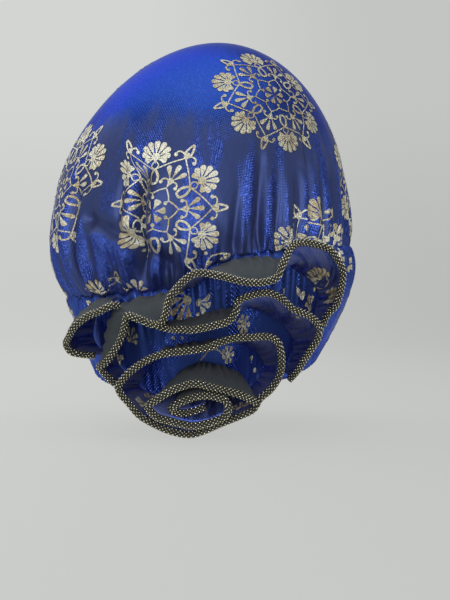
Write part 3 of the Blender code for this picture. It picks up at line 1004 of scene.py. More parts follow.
shell = crown_shell()
top = crown_point(0.0, 0.0)
outer_face = shell[0][:, :CROWN_ROWS]
crown_grid = np.concatenate([np.broadcast_to(top, outer_face[:, :1].shape), outer_face], axis=1)
poles = (top, top - UP * CROWN_WALL)
crown_cloth = make_cloth("crown_cloth", shell, crown_lame, CROWN_ROWS, False, poles)
hand_over(crown_cloth, "printed_cloth", "crown")

# %% [markdown]
# ## The band's cloth
# The band closes in both directions, like a flattened ring: down the outer face and back
# up the inner one.

# %% Band
BAND_COLUMNS = 600
BAND_ROWS = 32
BAND_INNER_ROWS = 10
BAND_HEIGHT = 62.0
FULL_GATHER = 1.5
# How far the top edge is turned up, and in behind the dome's cloth
TURNED_UP = 1.8
TURNED_IN = 1.9


def band_shell():
    """Points, UVs and relief of the band's shell, down its outer face and back up."""
    azimuth = np.linspace(0, 360, BAND_COLUMNS + 1)[:, None]
    down = np.linspace(0, 1, BAND_ROWS)[None, :]
    inside = np.linspace(1, 0, BAND_INNER_ROWS)[None, :]
    outer = band_point(azimuth, down)
    inner = band_point(azimuth, inside) - band_normal(azimuth, inside) * BAND_WALL
    for edge in (outer[:, 0], inner[:, -1]):
        edge += UP * TURNED_UP - unit(edge * [1, 1, 0]) * TURNED_IN
    points = np.concatenate([outer, inner, outer[:, :1]], axis=1)
    points[-1] = points[0]
    rows = np.concatenate([down, inside, down[:, :1]], axis=1) * np.ones_like(azimuth)
    uv = np.stack([azimuth * MM_PER_DEGREE * np.ones_like(rows), rows * BAND_HEIGHT], axis=-1)
    return points, uv, np.clip(gather_field(azimuth, rows) / FULL_GATHER, -1, 1)


band_cloth = make_cloth("band_cloth", band_shell(), band_lame, BAND_ROWS - 1, True)
hand_over(band_cloth, "printed_cloth", "head_band")

# %% [markdown]
# ## The ruffles' cloth
# Each ruffle is a strip with two faces: the printed one looks into the rosette, and the
# wrong side looks out of it. The rows go up one face and down the other.

# %% Ruffles
RUFFLE_ROWS = 30


def ruffle_shell(strip):
    """Points, UVs and relief of one ruffle: printed face from base to edge, then back."""
    share = np.linspace(0, 1, RUFFLE_ROWS)[None, :]
    along = strip.run[:, None]
    front = strip.point(along, share, RUFFLE_WALL / 2)
    back = strip.point(along, share[:, ::-1], -RUFFLE_WALL / 2)
    points = np.concatenate([front, back, front[:, :1]], axis=1)
    if strip.closed:
        points[-1] = points[0]
    share = np.concatenate([share, share[:, ::-1], share[:, :1]], axis=1)
    uv = np.stack(np.broadcast_arrays(along, share * strip.width), axis=-1)
    relief = np.clip(strip.pleats(along, share) / PLEAT_RISE, -1, 1)
    return points, uv, relief * strip.printed


ruffle_pieces = {}
for strip in strips:
    piece = make_cloth(
        strip.name + "_cloth", ruffle_shell(strip), strip_lame, RUFFLE_ROWS - 1, True,
        capped=not strip.closed,
    )
    ruffle_pieces[strip.name] = hand_over(piece, "ruffle_cloth", strip.name)

# %% [markdown]
# ## The braided trim
# Every ruffle's edge is bound with a braid: black yarn crossed by gold yarn, which shows
# as rows of small lozenges set like bricks. The black body is a tube along a line just
# beyond the edge. Each gold lozenge is its own raised patch, because at the outline they
# make the fine teeth that the real trim has.

# %% Materials of the braid
BRAID_BLACK = (0.011, 0.011, 0.010)
BRAID_WORN = (0.02, 0.02, 0.018)
GOLD_YARN = (0.97, 0.93, 0.68)
GOLD_YARN_DEEP = (0.50, 0.46, 0.25)
PLAIT_PITCH = 1.4


def make_black_yarn():
    """Black yarn: crossed sines for the plait, dull."""
    paint = Paint("black braid yarn", Metallic=0.0)
    place, u, v = paint.cloth_place()
    plait = paint.weave(u + v, u - v, PLAIT_PITCH)
    paint.feed("Base Color", paint.blend(plait.ramp(-1, 1), BRAID_BLACK, BRAID_WORN))
    paint.feed("Roughness", plait * 0.1 + 0.6)
    paint.feed("Normal", paint.bump(plait, 0.0002, 0.7))
    return paint.material


def make_gold_yarn():
    """Metallised yarn: fine fibres along the stitch, some stitches duller."""
    paint = Paint("gold braid yarn", Metallic=0.92)
    place, _, _ = paint.cloth_place()
    dull = paint.noise(place, 0.35, 2.0)
    fibres = paint.noise(place, 6.0, 2.0)
    paint.feed("Base Color", paint.blend(dull.ramp(0.4, 0.75), GOLD_YARN, GOLD_YARN_DEEP))
    paint.feed("Roughness", fibres * 0.2 + 0.13)
    paint.feed("Normal", paint.bump(fibres, 0.0001, 0.5))
    return paint.material


black_yarn = make_black_yarn()
gold_yarn = make_gold_yarn()

# %% Trims
TUBE_SIDES = 16
TUBE_RADIUS = 2.05
DOT_PITCH = 2.7
DOT_ROWS = 10
DOT_LONG = 0.66
DOT_WIDE = 0.45
DOT_RISE = 0.6
DOT_SINK = 0.05
DOT_GRID = 4
# The braid's side towards the cloth has no lozenges, to this angle each way in radians
BARE_ANGLE = 0.4


class Trim:
    """The braid of one strip as a surface of the distance along it, the angle round it
    (0 points onward from the cloth) and its radius."""

    def __init__(self, strip):
        centre, along, onward = beyond_edge(strip.lines, strip.closed, TRIM_RADIUS + GAP)
        self.run = run_along(centre)
        self.length = self.run[-1]
        self.closed = strip.closed
        self.table = np.hstack([centre, onward, np.cross(along, onward)])

    def point(self, at, angle, radius):
        """centre + radius (cos onward + sin sideways)."""
        if self.closed:
            at = at % self.length
        centre, onward, aside = np.split(read_line(self.table, self.run, at), 3, axis=-1)
        spoke = np.cos(angle)[..., None] * onward + np.sin(angle)[..., None] * aside
        return centre + np.asarray(radius)[..., None] * spoke


def trim_body(trim):
    """The black tube's grid, round it and then along it, and its UVs in mm."""
    angle = np.linspace(0, 2 * np.pi, TUBE_SIDES + 1)[:, None]
    at, angle = np.broadcast_arrays(trim.run, angle)
    points = trim.point(at, angle, np.full(at.shape, TUBE_RADIUS))
    return points, np.stack([at, angle * TUBE_RADIUS], axis=-1)


def trim_dots(trim):
    """Gold lozenges: a square grid turned by 45 degrees, raised by (1-p^2)(1-q^2)."""
    count = round(trim.length / DOT_PITCH)
    pitch = trim.length / count
    stations = np.arange(count)[:, None] + 0.5 * (np.arange(DOT_ROWS) % 2)
    angles = np.broadcast_to(2 * np.pi * np.arange(DOT_ROWS) / DOT_ROWS, stations.shape)
    keep = np.abs(angles - np.pi) > BARE_ANGLE
    p, q = np.meshgrid(*[np.linspace(-1, 1, DOT_GRID)] * 2, indexing="ij")
    rise = DOT_RISE * (1 - p**2) * (1 - q**2) - DOT_SINK
    at = ((stations + 0.25) * pitch)[keep][:, None, None] + (p + q) / 2 * DOT_LONG
    angle = angles[keep][:, None, None] + (p - q) / 2 * DOT_WIDE / TUBE_RADIUS
    if not trim.closed:
        at = np.clip(at, 0, trim.length)
    points = trim.point(at, angle, TUBE_RADIUS + np.broadcast_to(rise, at.shape))
    return points, np.stack([at, angle * TUBE_RADIUS], axis=-1)


def join_parts(name, parts, looks):
    """One piece from several (points, faces, uvs, slot) parts."""
    corners, faces, uvs, slots, count = [], [], [], [], 0
    for points, part_faces, part_uvs, slot in parts:
        for face, face_uv in zip(part_faces, part_uvs):
            faces.append(face + count)
            uvs.append(face_uv)
            slots.append(np.full(len(face), slot))
        corners.append(points)
        count += len(points)
    return make_piece(name, np.vstack(corners), faces, uvs, looks, np.concatenate(slots))


def patch_faces(patches):
    """Faces for a stack of equal grid patches (patch, i, j)."""
    count, columns, rows = patches.shape[:3]
    i, j = grid_quads(columns, rows)
    starts = np.arange(count) * columns * rows
    return (i * rows + j + starts[:, None, None]).reshape(-1, 4)


def make_trim(strip):
    """The braid of one strip: its tube, a ring or closed at both ends, and its lozenges,
    whose faces are turned away from the tube's middle line."""
    trim = Trim(strip)
    body, body_uv = trim_body(trim)
    poles = (None, None) if trim.closed else body[:-1, [0, -1]].mean(axis=0)
    corners, faces, uvs, _ = close_grid(body, body_uv, trim.closed, poles)
    dots, dot_uv = trim_dots(trim)
    quads = patch_faces(dots)
    flat, flat_uv = dots.reshape(-1, 3), dot_uv.reshape(-1, 2)
    a, b, _, d = (flat[quads[:, k]] for k in range(4))
    middle = trim.point(flat_uv[quads[:, 0], 0], np.zeros(len(quads)), 0.0)
    if np.sum(np.cross(b - a, d - a) * (a - middle)) < 0:
        quads = quads[:, ::-1]
    parts = [(corners, faces, uvs, 0), (flat, [quads], [flat_uv[quads]], 1)]
    return join_parts(strip.name + "_braid", parts, [black_yarn, gold_yarn])


for strip in strips:
    piece = make_trim(strip)
    hand_over(piece, "gold_braid", strip.name + "_trim")

# %% [markdown]
# ## The foil print
# The cloth carries round medallions in pale gold foil, a common block-print ornament of
# palmettes on a six-sided lattice of vines. A mask in the material would be soft at this
# size. Here each petal and each vine is a thin patch drawn flat in millimetres, and then
# laid on the dome: crisp at any distance, and it follows every fold.

# %% Petals and vines, flat
PETAL_STEPS = 8
PETAL_SIDES = 5
PETAL_FULLNESS = 0.82
PETAL_SLIMNESS = 1.6
VINE_STEPS = 18
VINE_WIDTH = 0.85


def polar_place(radius, degrees):
    """The flat point at a distance and a direction from the origin."""
    angle = math.radians(degrees)
    return np.array([radius * math.cos(angle), radius * math.sin(angle)])


def rotated(points, degrees):
    """Both coordinates of flat points, turned about the origin."""
    x, y, spin = points[..., 0], points[..., 1], math.radians(degrees)
    return x * math.cos(spin) - y * math.sin(spin), x * math.sin(spin) + y * math.cos(spin)


def petals(starts, angles, lengths, width):
    """Petals from their starts, slim at the heart and round at the tip: the half width is
    width * fullness * t^slimness * sqrt(1 - t^6), with t the share of the length."""
    t = np.sin(np.linspace(0.04, 0.985, PETAL_STEPS) * np.pi / 2)[None, :, None]
    side = np.linspace(-1, 1, PETAL_SIDES)[None, None, :]
    half = PETAL_FULLNESS * width * t**PETAL_SLIMNESS * np.sqrt(1 - t**6) * side
    reach = np.asarray(lengths)[:, None, None] * t
    c, n = np.cos(angles)[:, None, None], np.sin(angles)[:, None, None]
    return starts + np.stack([reach * c - half * n, reach * n + half * c], axis=-1)


def petal(facing, radius, length, width):
    """One petal that starts at a distance from the origin and points away from it."""
    return petals(polar_place(radius, facing), [math.radians(facing)], [length], width)


def palmette(facing, radius, count, spread, length, width, droop):
    """A fan of petals from one heart, the outermost ones shorter by the share droop."""
    angles = np.radians(np.linspace(-spread, spread, count)) + math.radians(facing)
    starts = 0.6 * np.stack([np.cos(angles), np.sin(angles)], axis=1)[:, None, None]
    lengths = length * (1 - droop * np.linspace(-1, 1, count) ** 2)
    return petals(starts + polar_place(radius, facing), angles, lengths, width)


def dot(facing, radius, size):
    """A round dot at a distance from the origin, on the same grid as a petal."""
    angle = np.linspace(0.2, np.pi - 0.2, PETAL_STEPS)[:, None]
    side = np.linspace(-1, 1, PETAL_SIDES)[None, :]
    x, y = np.broadcast_arrays(-np.cos(angle), np.sin(angle) * side)
    return (polar_place(radius, facing) + size * np.stack([x, y], axis=-1))[None]


def vine(path, width, closed=False):
    """A ribbon along a smooth path through the given points, three points wide."""
    turns = len(path) if closed else len(path) - 1
    line = catmull(path, closed, np.linspace(0, turns, VINE_STEPS))
    along = unit(np.gradient(line, axis=0))
    if closed:
        along[[0, -1]] = unit(line[1] - line[-2])
    across = np.stack([-along[:, 1], along[:, 0]], axis=1) * (width / 2)
    return np.stack([line - across, line, line + across], axis=1)


def traced(table, facing, width, side=1, closed=False):
    """A vine through rows of (radius, degrees from facing), mirrored where side is -1."""
    path = [polar_place(radius, facing + side * degrees) for radius, degrees in table]
    return vine(path, width, closed)


# %% One medallion, flat
# Its lines go through places: mm from its centre, and degrees from where a motif faces
LOOP = ((25.5, 0), (21.75, -6.2), (17.6, -6), (16.8, 0), (17.6, 6), (21.75, 6.2))
DIAMOND = ((25.5, 0), (27.9, 4.4), (30.5, 1.2))
BUD = ((36.0, 0), (38.4, -2.8), (41.4, -2.4), (45.5, 0), (41.4, 2.4), (38.4, 2.8))
CORNER_VINE = ((36.0, 0), (30.2, 12.6), (25.5, 30))
RING = ((10.9, 0), (13.26, 17.46), (15.5, 30))
SPUR = ((10.9, 0), (8.6, 0))
LOOP_WIDTH, DIAMOND_WIDTH, BUD_WIDTH = 1.5, 0.7, 1.3
HOOK_WIDTH = 1.15 * VINE_WIDTH
# Single petals: mm from the centre to the start, length and width
STEM_PETAL, BUD_PETAL = (28.7, 6.4, 4.0), (35.4, 4.4, 2.6)
RING_PETAL, CENTRE_PETAL = (14.9, 6.8, 4.0), (1.0, 6.6, 4.2)
# Fans: mm from the centre to the heart, petals, degrees to the outermost one, length,
# width, and the share by which the outermost one is shorter
OUTER_FAN = (32.6, 9, 108, 10.8, 3.6, 0.4)
INNER_FAN = (19.5, 3, 36, 10.8, 3.0, 0.08)
# Round dots: mm from the centre, and radius
OUTER_DOT, INNER_DOT, SPUR_DOT = (33.5, 2.5), (20.1, 1.9), (8.6, 1.15)
# Pairs of curls: mm from the centre to their feet, degrees aside, spread and size
BUD_CURLS, INNER_CURLS = (37.2, 1.2, 52, 7.2), (19.5, 0.0, 58, 6.4)
# A curl's steps: the degrees that it has turned, and a share of its size
CURL_STEPS = ((10, 0.34), (38, 0.32), (80, 0.26), (128, 0.22))
CURL_TIP = 0.17


def both_sides(table, facing, width):
    """The mirrored vine and the plain one."""
    return [traced(table, facing, width, side) for side in (-1, 1)]


def curls(facing, radius, aside, spread, size):
    """Two mirrored hooks: each leaves its foot, bends back and ends in a round tip."""
    hooks, tips = [], []
    for side in (-1, 1):
        path = [polar_place(radius, facing + side * aside)]
        for turned, share in CURL_STEPS:
            path.append(path[-1] + polar_place(size * share, facing + side * (spread + turned)))
        hooks.append(vine(path, HOOK_WIDTH))
        tips.append(path[-1] + dot(0, 0, size * CURL_TIP))
    return hooks, tips


def flower_motif(facing):
    """Outer flower with its heart, the open diamond and the loop that hangs inwards."""
    leaves = [palmette(facing, *OUTER_FAN), dot(facing, *OUTER_DOT), petal(facing, *STEM_PETAL)]
    vines = both_sides(DIAMOND, facing, DIAMOND_WIDTH)
    vines.append(traced(LOOP, facing, LOOP_WIDTH, closed=True))
    return np.concatenate(leaves), np.stack(vines)


def corner_motif(facing):
    """Corner bud with two curls, and the vines from it to the loops on both sides."""
    hooks, tips = curls(facing, *BUD_CURLS)
    vines = both_sides(CORNER_VINE, facing, VINE_WIDTH) + hooks
    vines.append(traced(BUD, facing, BUD_WIDTH, closed=True))
    return np.concatenate([petal(facing, *BUD_PETAL), *tips]), np.stack(vines)


def inner_motif(facing):
    """A sixth of the star-shaped ring with its dot, and at the ring's next corner an
    inner flower and a petal of the central one."""
    corner = facing + 30
    hooks, tips = curls(corner, *INNER_CURLS)
    leaves = [petal(corner, *RING_PETAL), palmette(corner, *INNER_FAN)]
    leaves += [dot(corner, *INNER_DOT), *tips, dot(facing, *SPUR_DOT), petal(corner, *CENTRE_PETAL)]
    vines = hooks + both_sides(RING, facing, VINE_WIDTH)
    vines.append(traced(SPUR, facing, VINE_WIDTH))
    return np.concatenate(leaves), np.stack(vines)


def lone_palmette(count, spread, length=10.8, width=3.6, heart=2.3):
    """A palmette that faces along +x, with its heart at the origin."""
    leaves = palmette(0, 0, count, spread, length, width, 0.15)
    return [np.concatenate([leaves, dot(0, 0.6, heart)])]


sixths = []
for facing in range(0, 360, 60):
    sixths += [flower_motif(facing), corner_motif(facing + 30), inner_motif(facing)]
# The corner's bud alone, moved to the origin
bud = [patches - polar_place(BUD[0][0], 0) for patches in corner_motif(0)]
MOTIFS = {
    "medallion": [np.concatenate(stacks) for stacks in zip(*sixths)],
    "flower": lone_palmette(9, 114),
    "half flower": lone_palmette(5, 66),
    "three petals": lone_palmette(3, 30),
    "bloom": lone_palmette(7, 154, 9.0, 5.0, 3.6),
    "bud": bud,
    "leaf": [petal(0, -4.0, 8.0, 5.0)],
    "dot": [dot(0, 0, 1.3)],
    "stem": [vine([(-8.0, -3.0), (-3.0, 1.5), (3.0, 1.0), (8.0, -2.5)], VINE_WIDTH)[None]],
}
print("a medallion has", [len(stack) for stack in MOTIFS["medallion"]], "petals and vines")

# %% [markdown]
# ## Laying the print on the dome
# A flat disc can't lie on a dome without giving. The print is laid the way a map of the
# pole is: distances and directions from its own centre are true. The dome is taken as a
# ball for the angles, with the real way from the top to each level measured along the
# cloth, so a medallion keeps its size and its roundness.

# %% Places on the dome
BALL = 122.5
FOIL_LIFT = 0.28
SHOULDER_STRETCH = 1.06
LOW_SQUEEZE = 0.3
LAST_SHARE = 0.99
# Half the degrees over which a tuck swallows cloth, and how many more to one side the
# step in a pulled tuck becomes above its top
TUCK_MOUTH = 2.2
TUCK_SLOPE = 11
# Azimuth, polar angle and radius in mm of print that the slanting crease swallows
SWALLOWED = (186.0, 106.5, 19.5)

# Polar angles on the way down the dome, and the mm of cloth from the top to each
way = np.linspace(0, 2.4, 400)
way_run = run_along(np.stack([MEAN_RADIUS * np.sin(way), crown_up(way)], axis=1))


def swallowed_share(azimuth, centre, place, slope):
    """How much of a tuck lies between a medallion's centre and an azimuth."""
    low, high = -TUCK_MOUTH - slope, TUCK_MOUTH
    return smoothstep(low, high, azimuth - place) - smoothstep(low, high, centre - place)


def cloth_before(azimuth, centre, up):
    """The mm of cloth that tucks hide between a medallion's centre and an azimuth, and
    how many mm lower the cloth lies there. Above a tuck's top the step is a slope."""
    total, slip = np.zeros(azimuth.shape), np.zeros(azimuth.shape)
    for place, hidden, top, bottom, pulled in TUCKS:
        if abs(centre - place) < 90:
            slope = TUCK_SLOPE * smoothstep(top - 14, top + 10, up)
            total += hidden * tuck_fade(up, top, bottom) * swallowed_share(azimuth, centre, place, 0)
            slip += pulled * swallowed_share(azimuth, centre, place, slope)
    return total, slip


def on_dome(flat, azimuth, polar, turned):
    """(azimuth, polar) of flat points in mm from a medallion's centre on the dome. The
    tucks swallow cloth, so the azimuth is found by halving an interval eighteen times."""
    centre = np.interp(math.radians(polar), way, way_run) / BALL
    squeeze = BALL * math.sin(centre) / (MEAN_RADIUS * math.sin(math.radians(polar)))
    x, y = rotated(flat, turned)
    x = x * squeeze * (1 - LOW_SQUEEZE * smoothstep(100, 150, polar))
    y = y * np.where(y > 0, SHOULDER_STRETCH, 1)
    reach = np.hypot(x, y) / BALL
    heading = np.arctan2(x, y)
    cosine = np.cos(centre) * np.cos(reach) + np.sin(centre) * np.sin(reach) * np.cos(heading)
    angle_down = np.arccos(np.clip(cosine, -1, 1))
    east = np.sin(heading) * np.sin(reach)
    north = np.sin(centre) * np.cos(reach) - np.cos(centre) * np.sin(reach) * np.cos(heading)
    wanted = azimuth + np.degrees(np.arctan2(east, north))
    down = np.interp(angle_down * BALL, way_run, way)
    up = crown_up(down)
    low, high = wanted - 18, wanted + 18
    for _ in range(18):
        middle = (low + high) / 2
        hidden, slip = cloth_before(middle, azimuth, up)
        short = middle + hidden / MM_PER_DEGREE < wanted
        low, high = np.where(short, middle, low), np.where(short, high, middle)
    return (low + high) / 2, down + slip / BALL


def read_grid(grid, column, row):
    """A grid of points read between its rows and columns, straight along both."""
    i = np.clip(np.floor(column).astype(int), 0, grid.shape[0] - 2)
    j = np.clip(np.floor(row).astype(int), 0, grid.shape[1] - 2)
    s, t = (column - i)[..., None], (row - j)[..., None]
    near = grid[i, j] * (1 - t) + grid[i, j + 1] * t
    far = grid[i + 1, j] * (1 - t) + grid[i + 1, j + 1] * t
    return near * (1 - s) + far * s


def dome_print(patches, azimuth, polar, turned):
    """Points and inside mask of patches on the dome. Points beyond the seam are moved to
    it, and their mask is False. So is the mask of petals that the crease swallows."""
    found, down = on_dome(patches, azimuth, polar, turned)
    share = down / seam_polar(found)
    across = mm_beside(found, SWALLOWED[0])
    below = (down - math.radians(SWALLOWED[1])) * MM_PER_RADIAN
    swallowed = np.hypot(across, below).mean(axis=(1, 2)) < SWALLOWED[2]
    inside = (share < LAST_SHARE) & ~swallowed[:, None, None]
    share = np.minimum(share, LAST_SHARE)
    place = read_grid(crown_grid, found % 360 / 360 * CROWN_COLUMNS, share * CROWN_ROWS)
    return place + crown_normal(found, share * seam_polar(found)) * FOIL_LIFT, inside


# %% Foil materials
# Bright and deep colour, and how metallic; the ruffles' warm foil is a lighter copy with
# less metal, its brighter colours painted light for the print in the rosette's shade
FOIL_LOOKS = {
    "pale foil": ((1.0, 0.98, 0.80), (0.70, 0.59, 0.36), 0.55),
    "bronze foil": ((0.66, 0.62, 0.44), (0.42, 0.34, 0.21), 0.55),
    "lit warm foil": ((1.0, 0.92, 0.58), (0.86, 0.69, 0.37), 0.15),
}
FOIL_GAP = (0.03, 0.03, 0.06)


def make_foil(name, bright, deep, metal):
    """Pressed foil: bright and deep by turns from flower to flower, crinkled, with fine
    cracks where the navy shows through. metal is how metallic it is between them."""
    paint = Paint(name)
    place, _, _ = paint.cloth_place()
    slow = paint.noise(place, 0.055, 2.0)
    mottle = paint.noise(place, 0.6, 4.0, 0.7)
    crinkle = paint.cells(place, 0.9, "Distance")
    crack = paint.noise(place, 0.9, 5.0, 0.75).ramp(0.68, 0.78)
    colour = paint.blend((slow * 0.8 + mottle * 0.6).ramp(0.62, 0.84), bright, deep)
    paint.feed("Base Color", paint.blend(crack * 0.8, colour, FOIL_GAP))
    paint.feed("Metallic", (1 - crack * 0.6) * metal)
    paint.feed("Roughness", mottle * 0.3 + 0.08)
    paint.feed("Normal", paint.bump(crinkle + mottle, 0.0010, 0.9))
    return paint.material


foils = [make_foil(name, *look) for name, look in FOIL_LOOKS.items()]


def foil_part(points, uv, inside, slot):
    """A part of one piece of foil from a stack of patches, without the faces outside."""
    faces = patch_faces(points)
    faces = faces[inside.ravel()[faces].any(axis=1)]
    used, numbers = np.unique(faces, return_inverse=True)
    numbers = numbers.reshape(faces.shape)
    return points.reshape(-1, 3)[used], [numbers], [uv.reshape(-1, 2)[faces]], slot


# %% Places on the band and the ruffles
# From where to where across the cloth it can be printed, as shares
BAND_PRINTED = (0.02, 0.97)
RUFFLE_PRINTED = (0.04, 0.98)
# The mm at a ruffle's ends that aren't printed
PLAIN_END = 1.0
by_name = {strip.name: strip for strip in strips}


def within(value, low, high):
    """A value kept between two limits, and a mask of where it was there anyway."""
    return np.clip(value, low, high), (value > low) & (value < high)


def band_print(patches, azimuth, across, turned):
    """Points and inside mask of patches on the band."""
    x, y = rotated(patches, turned)
    found = azimuth + x / MM_PER_DEGREE
    down, inside = within((across - y) / BAND_HEIGHT, *BAND_PRINTED)
    return band_point(found, down) + band_normal(found, down) * FOIL_LIFT, inside


def strip_print(strip, patches, along, across, turned):
    """Points and inside mask of patches on a ruffle's printed side."""
    x, y = rotated(patches, turned)
    share, inside = within((across - y) / strip.width, *RUFFLE_PRINTED)
    if strip.closed:
        place = (along + x) % strip.length
    else:
        place, between_ends = within(along + x, PLAIN_END, strip.length - PLAIN_END)
        inside = inside & between_ends
    return strip.point(place, share, RUFFLE_WALL / 2 + FOIL_LIFT), inside


# %% [markdown]
# ## Where the print falls
# The cloth was cut without regard to its print, so whole medallions lie only on the
# dome. On the band and in the ruffles pieces of them come up between the folds.

# %% The print, piece by piece
# Motif, surface, place on it, turn in degrees, size, and foil (0 pale, 1 bronze, 2 warm).
# The place is azimuth and polar angle on the dome, azimuth and mm down from the seam on
# the band, and mm along the edge and mm from the sewn side on a ruffle.
PRINTS = (
    ("medallion", "crown", 185.7, 84.5, 35, 1, 0), ("medallion", "crown", 232.6, 47.8, 36, 1, 1),
    ("medallion", "crown", 140, 76.5, 34, 1, 0), ("medallion", "crown", 249.5, 105, 34, 1, 0),
    ("medallion", "crown", 86, 36, 34, 1, 1), ("medallion", "crown", 294, 72, 34, 1, 0),
    ("medallion", "crown", 92, 92, 34, 1, 0), ("medallion", "crown", 60, 116, 34, 1, 0),
    ("medallion", "crown", 42, 66, 34, 1, 1), ("medallion", "crown", 14, 100, 34, 1, 0),
    ("medallion", "crown", 344, 62, 34, 1, 0), ("medallion", "crown", 318, 108, 34, 1, 1),
    ("dot", "crown", 203.2, 99.2, 0, 0.9, 0), ("stem", "crown", 206.4, 101.2, 30, 1.1, 0),
    ("leaf", "crown", 204.6, 105.0, 90, 0.8, 0), ("flower", "crown", 211.0, 104.0, 90, 0.6, 1),
    ("flower", "crown", 160.0, 117.8, 85, 0.85, 0), ("bud", "crown", 170.0, 111.5, 85, 0.6, 1),
    ("half flower", "crown", 177.8, 118.3, 100, 0.9, 0), ("leaf", "band", 151.2, 4.5, 85, 0.6, 0),
    ("leaf", "crown", 152.0, 116.5, 110, 0.6, 1), ("flower", "crown", 120, 121, 90, 0.9, 1),
    ("medallion", "band", 310, 40, 30, 1, 0), ("medallion", "band", 8, 30, 20, 1, 0),
    ("medallion", "band", 62, 36, 40, 1, 1), ("medallion", "band", 108, 34, 30, 1, 0),
    ("half flower", "band", 196.6, 9.5, 200, 1.2, 0), ("three petals", "band", 200.0, 12.5, 325, 0.8, 0),
    ("dot", "band", 199.6, 18.8, 340, 1.0, 0), ("three petals", "band", 244.8, 29.2, 115, 0.7, 0),
    ("leaf", "band", 231.2, 18.8, 100, 0.5, 0), ("leaf", "band", 237.6, 18.2, 310, 0.6, 0),
    ("leaf", "band", 239.2, 20.8, 0, 0.9, 0), ("dot", "band", 245.6, 19.3, 355, 0.9, 0),
    ("half flower", "band", 263.2, 4.7, 25, 0.8, 0), ("three petals", "band", 271.2, 11.5, 30, 0.8, 0),
    ("leaf", "band", 267.0, 17.0, 60, 0.7, 0), ("bloom", "band", 215.2, 31.3, 355, 0.5, 0),
    ("dot", "band", 190.0, 28.1, 355, 0.9, 0), ("dot", "band", 193.2, 29.7, 350, 0.7, 0),
    ("bloom", "band", 209.2, 43.8, 355, 0.5, 0), ("stem", "band", 204.0, 41.7, 350, 1.1, 0),
    ("leaf", "band", 219.2, 48.5, 95, 0.5, 0), ("dot", "band", 221.2, 53.7, 355, 1.0, 0),
    ("half flower", "band", 171.6, 28.7, 45, 0.8, 1), ("three petals", "band", 167.2, 40.6, 195, 0.8, 1),
    ("flower", "upper_ruffle", 219, 12, 180, 1.25, 2),
    ("flower", "upper_ruffle", 250, 12, 280, 1.1, 2),
    ("dot", "upper_ruffle", 228.8, 5.6, 280, 0.8, 2), ("stem", "upper_ruffle", 229.6, 11.1, 240, 1.2, 2),
    ("leaf", "middle_ruffle", 100.8, 32.4, 305, 0.9, 2),
    ("three petals", "lower_ruffle", 232.0, 25.1, 330, 1.0, 2),
    ("half flower", "lower_ruffle", 231.2, 13.0, 70, 0.9, 2), ("dot", "lower_ruffle", 182.4, 40.0, 0, 1.2, 2),
    ("half flower", "lower_ruffle", 171.2, 36.0, 110, 0.8, 2),
    ("three petals", "centre_ruffle", 126.4, 46.0, 0, 0.8, 2), ("bud", "side_ruffle", 40, 20, 90, 0.8, 2),
)

foil_parts = {surface: [] for surface in ("crown", "band", *by_name)}
for number, (motif, surface, first, second, turned, size, kind) in enumerate(PRINTS):
    for stack in MOTIFS[motif]:
        flat = stack * size
        if surface == "crown":
            laid, inside = dome_print(flat, first, second, turned)
        elif surface == "band":
            laid, inside = band_print(flat, first, second, turned)
        else:
            laid, inside = strip_print(by_name[surface], flat, first, second, turned)
        if inside.any():
            foil_parts[surface].append(foil_part(laid, flat + number * 100, inside, kind))
for surface, parts in foil_parts.items():
    piece = join_parts(surface + "_print", parts, foils)
    slot = "printed_cloth" if surface in ("crown", "band") else "ruffle_cloth"
    hand_over(piece, slot)

# %% [markdown]
# ## Sheets and what they are cut from
# The area of every cloth is printed, one layer of it. The dome is cut as a round panel
# and gathered, each ruffle as a straight strip.


# %% Areas of the cloth
def surface_area(piece):
    """Half of a closed shell's area, in square metres: one layer of the cloth."""
    return sum(face.area for face in piece.data.polygons) / 2


# A panel with its corners cut round keeps 0.785 of its rectangle
print("dome area", round(surface_area(crown_cloth), 4))
print("band area", round(surface_area(band_cloth), 4))
for strip in strips:
    piece = ruffle_pieces[strip.name]
    print(strip.name, "area", round(surface_area(piece), 4))
    strip.width * MM

# %% [markdown]
# ## The studio
# A pale bowl stands for floor and backdrop, so that the turban can be looked at from
# any side. A wide soft light hangs over the dome: lamé shows what is above it as a bright
# cap and what is beside it as dark cloth, and its colour paints in the same lit cap and
# shaded cloth as well.

# %% Floor and backdrop
FLOOR_UP = cad_box[0][2] / MM - 1.0
BOWL_RADIUS = 3600.0
BOWL_BEND = 2200.0
BOWL_HEIGHT = 3400.0
BOWL_COLUMNS = 96
BACKDROP = (0.05, 0.05, 0.049)
WALL_LIGHT = (0.625, 0.635, 0.615)
ROOM_LIGHT = (0.37, 0.38, 0.385)
NO_LIGHT = (0.0, 0.0, 0.0)


def bowl_profile():
    """Radius and height of the bowl: flat floor, a quarter circle, then the wall."""
    bend = np.linspace(0, np.pi / 2, 24)
    radius = [20.0, 700.0, *(BOWL_RADIUS - BOWL_BEND * (1 - np.sin(bend))), BOWL_RADIUS]
    height = [0.0, 0.0, *(BOWL_BEND * (1 - np.cos(bend))), BOWL_HEIGHT]
    return np.array(radius), np.array(height) + FLOOR_UP


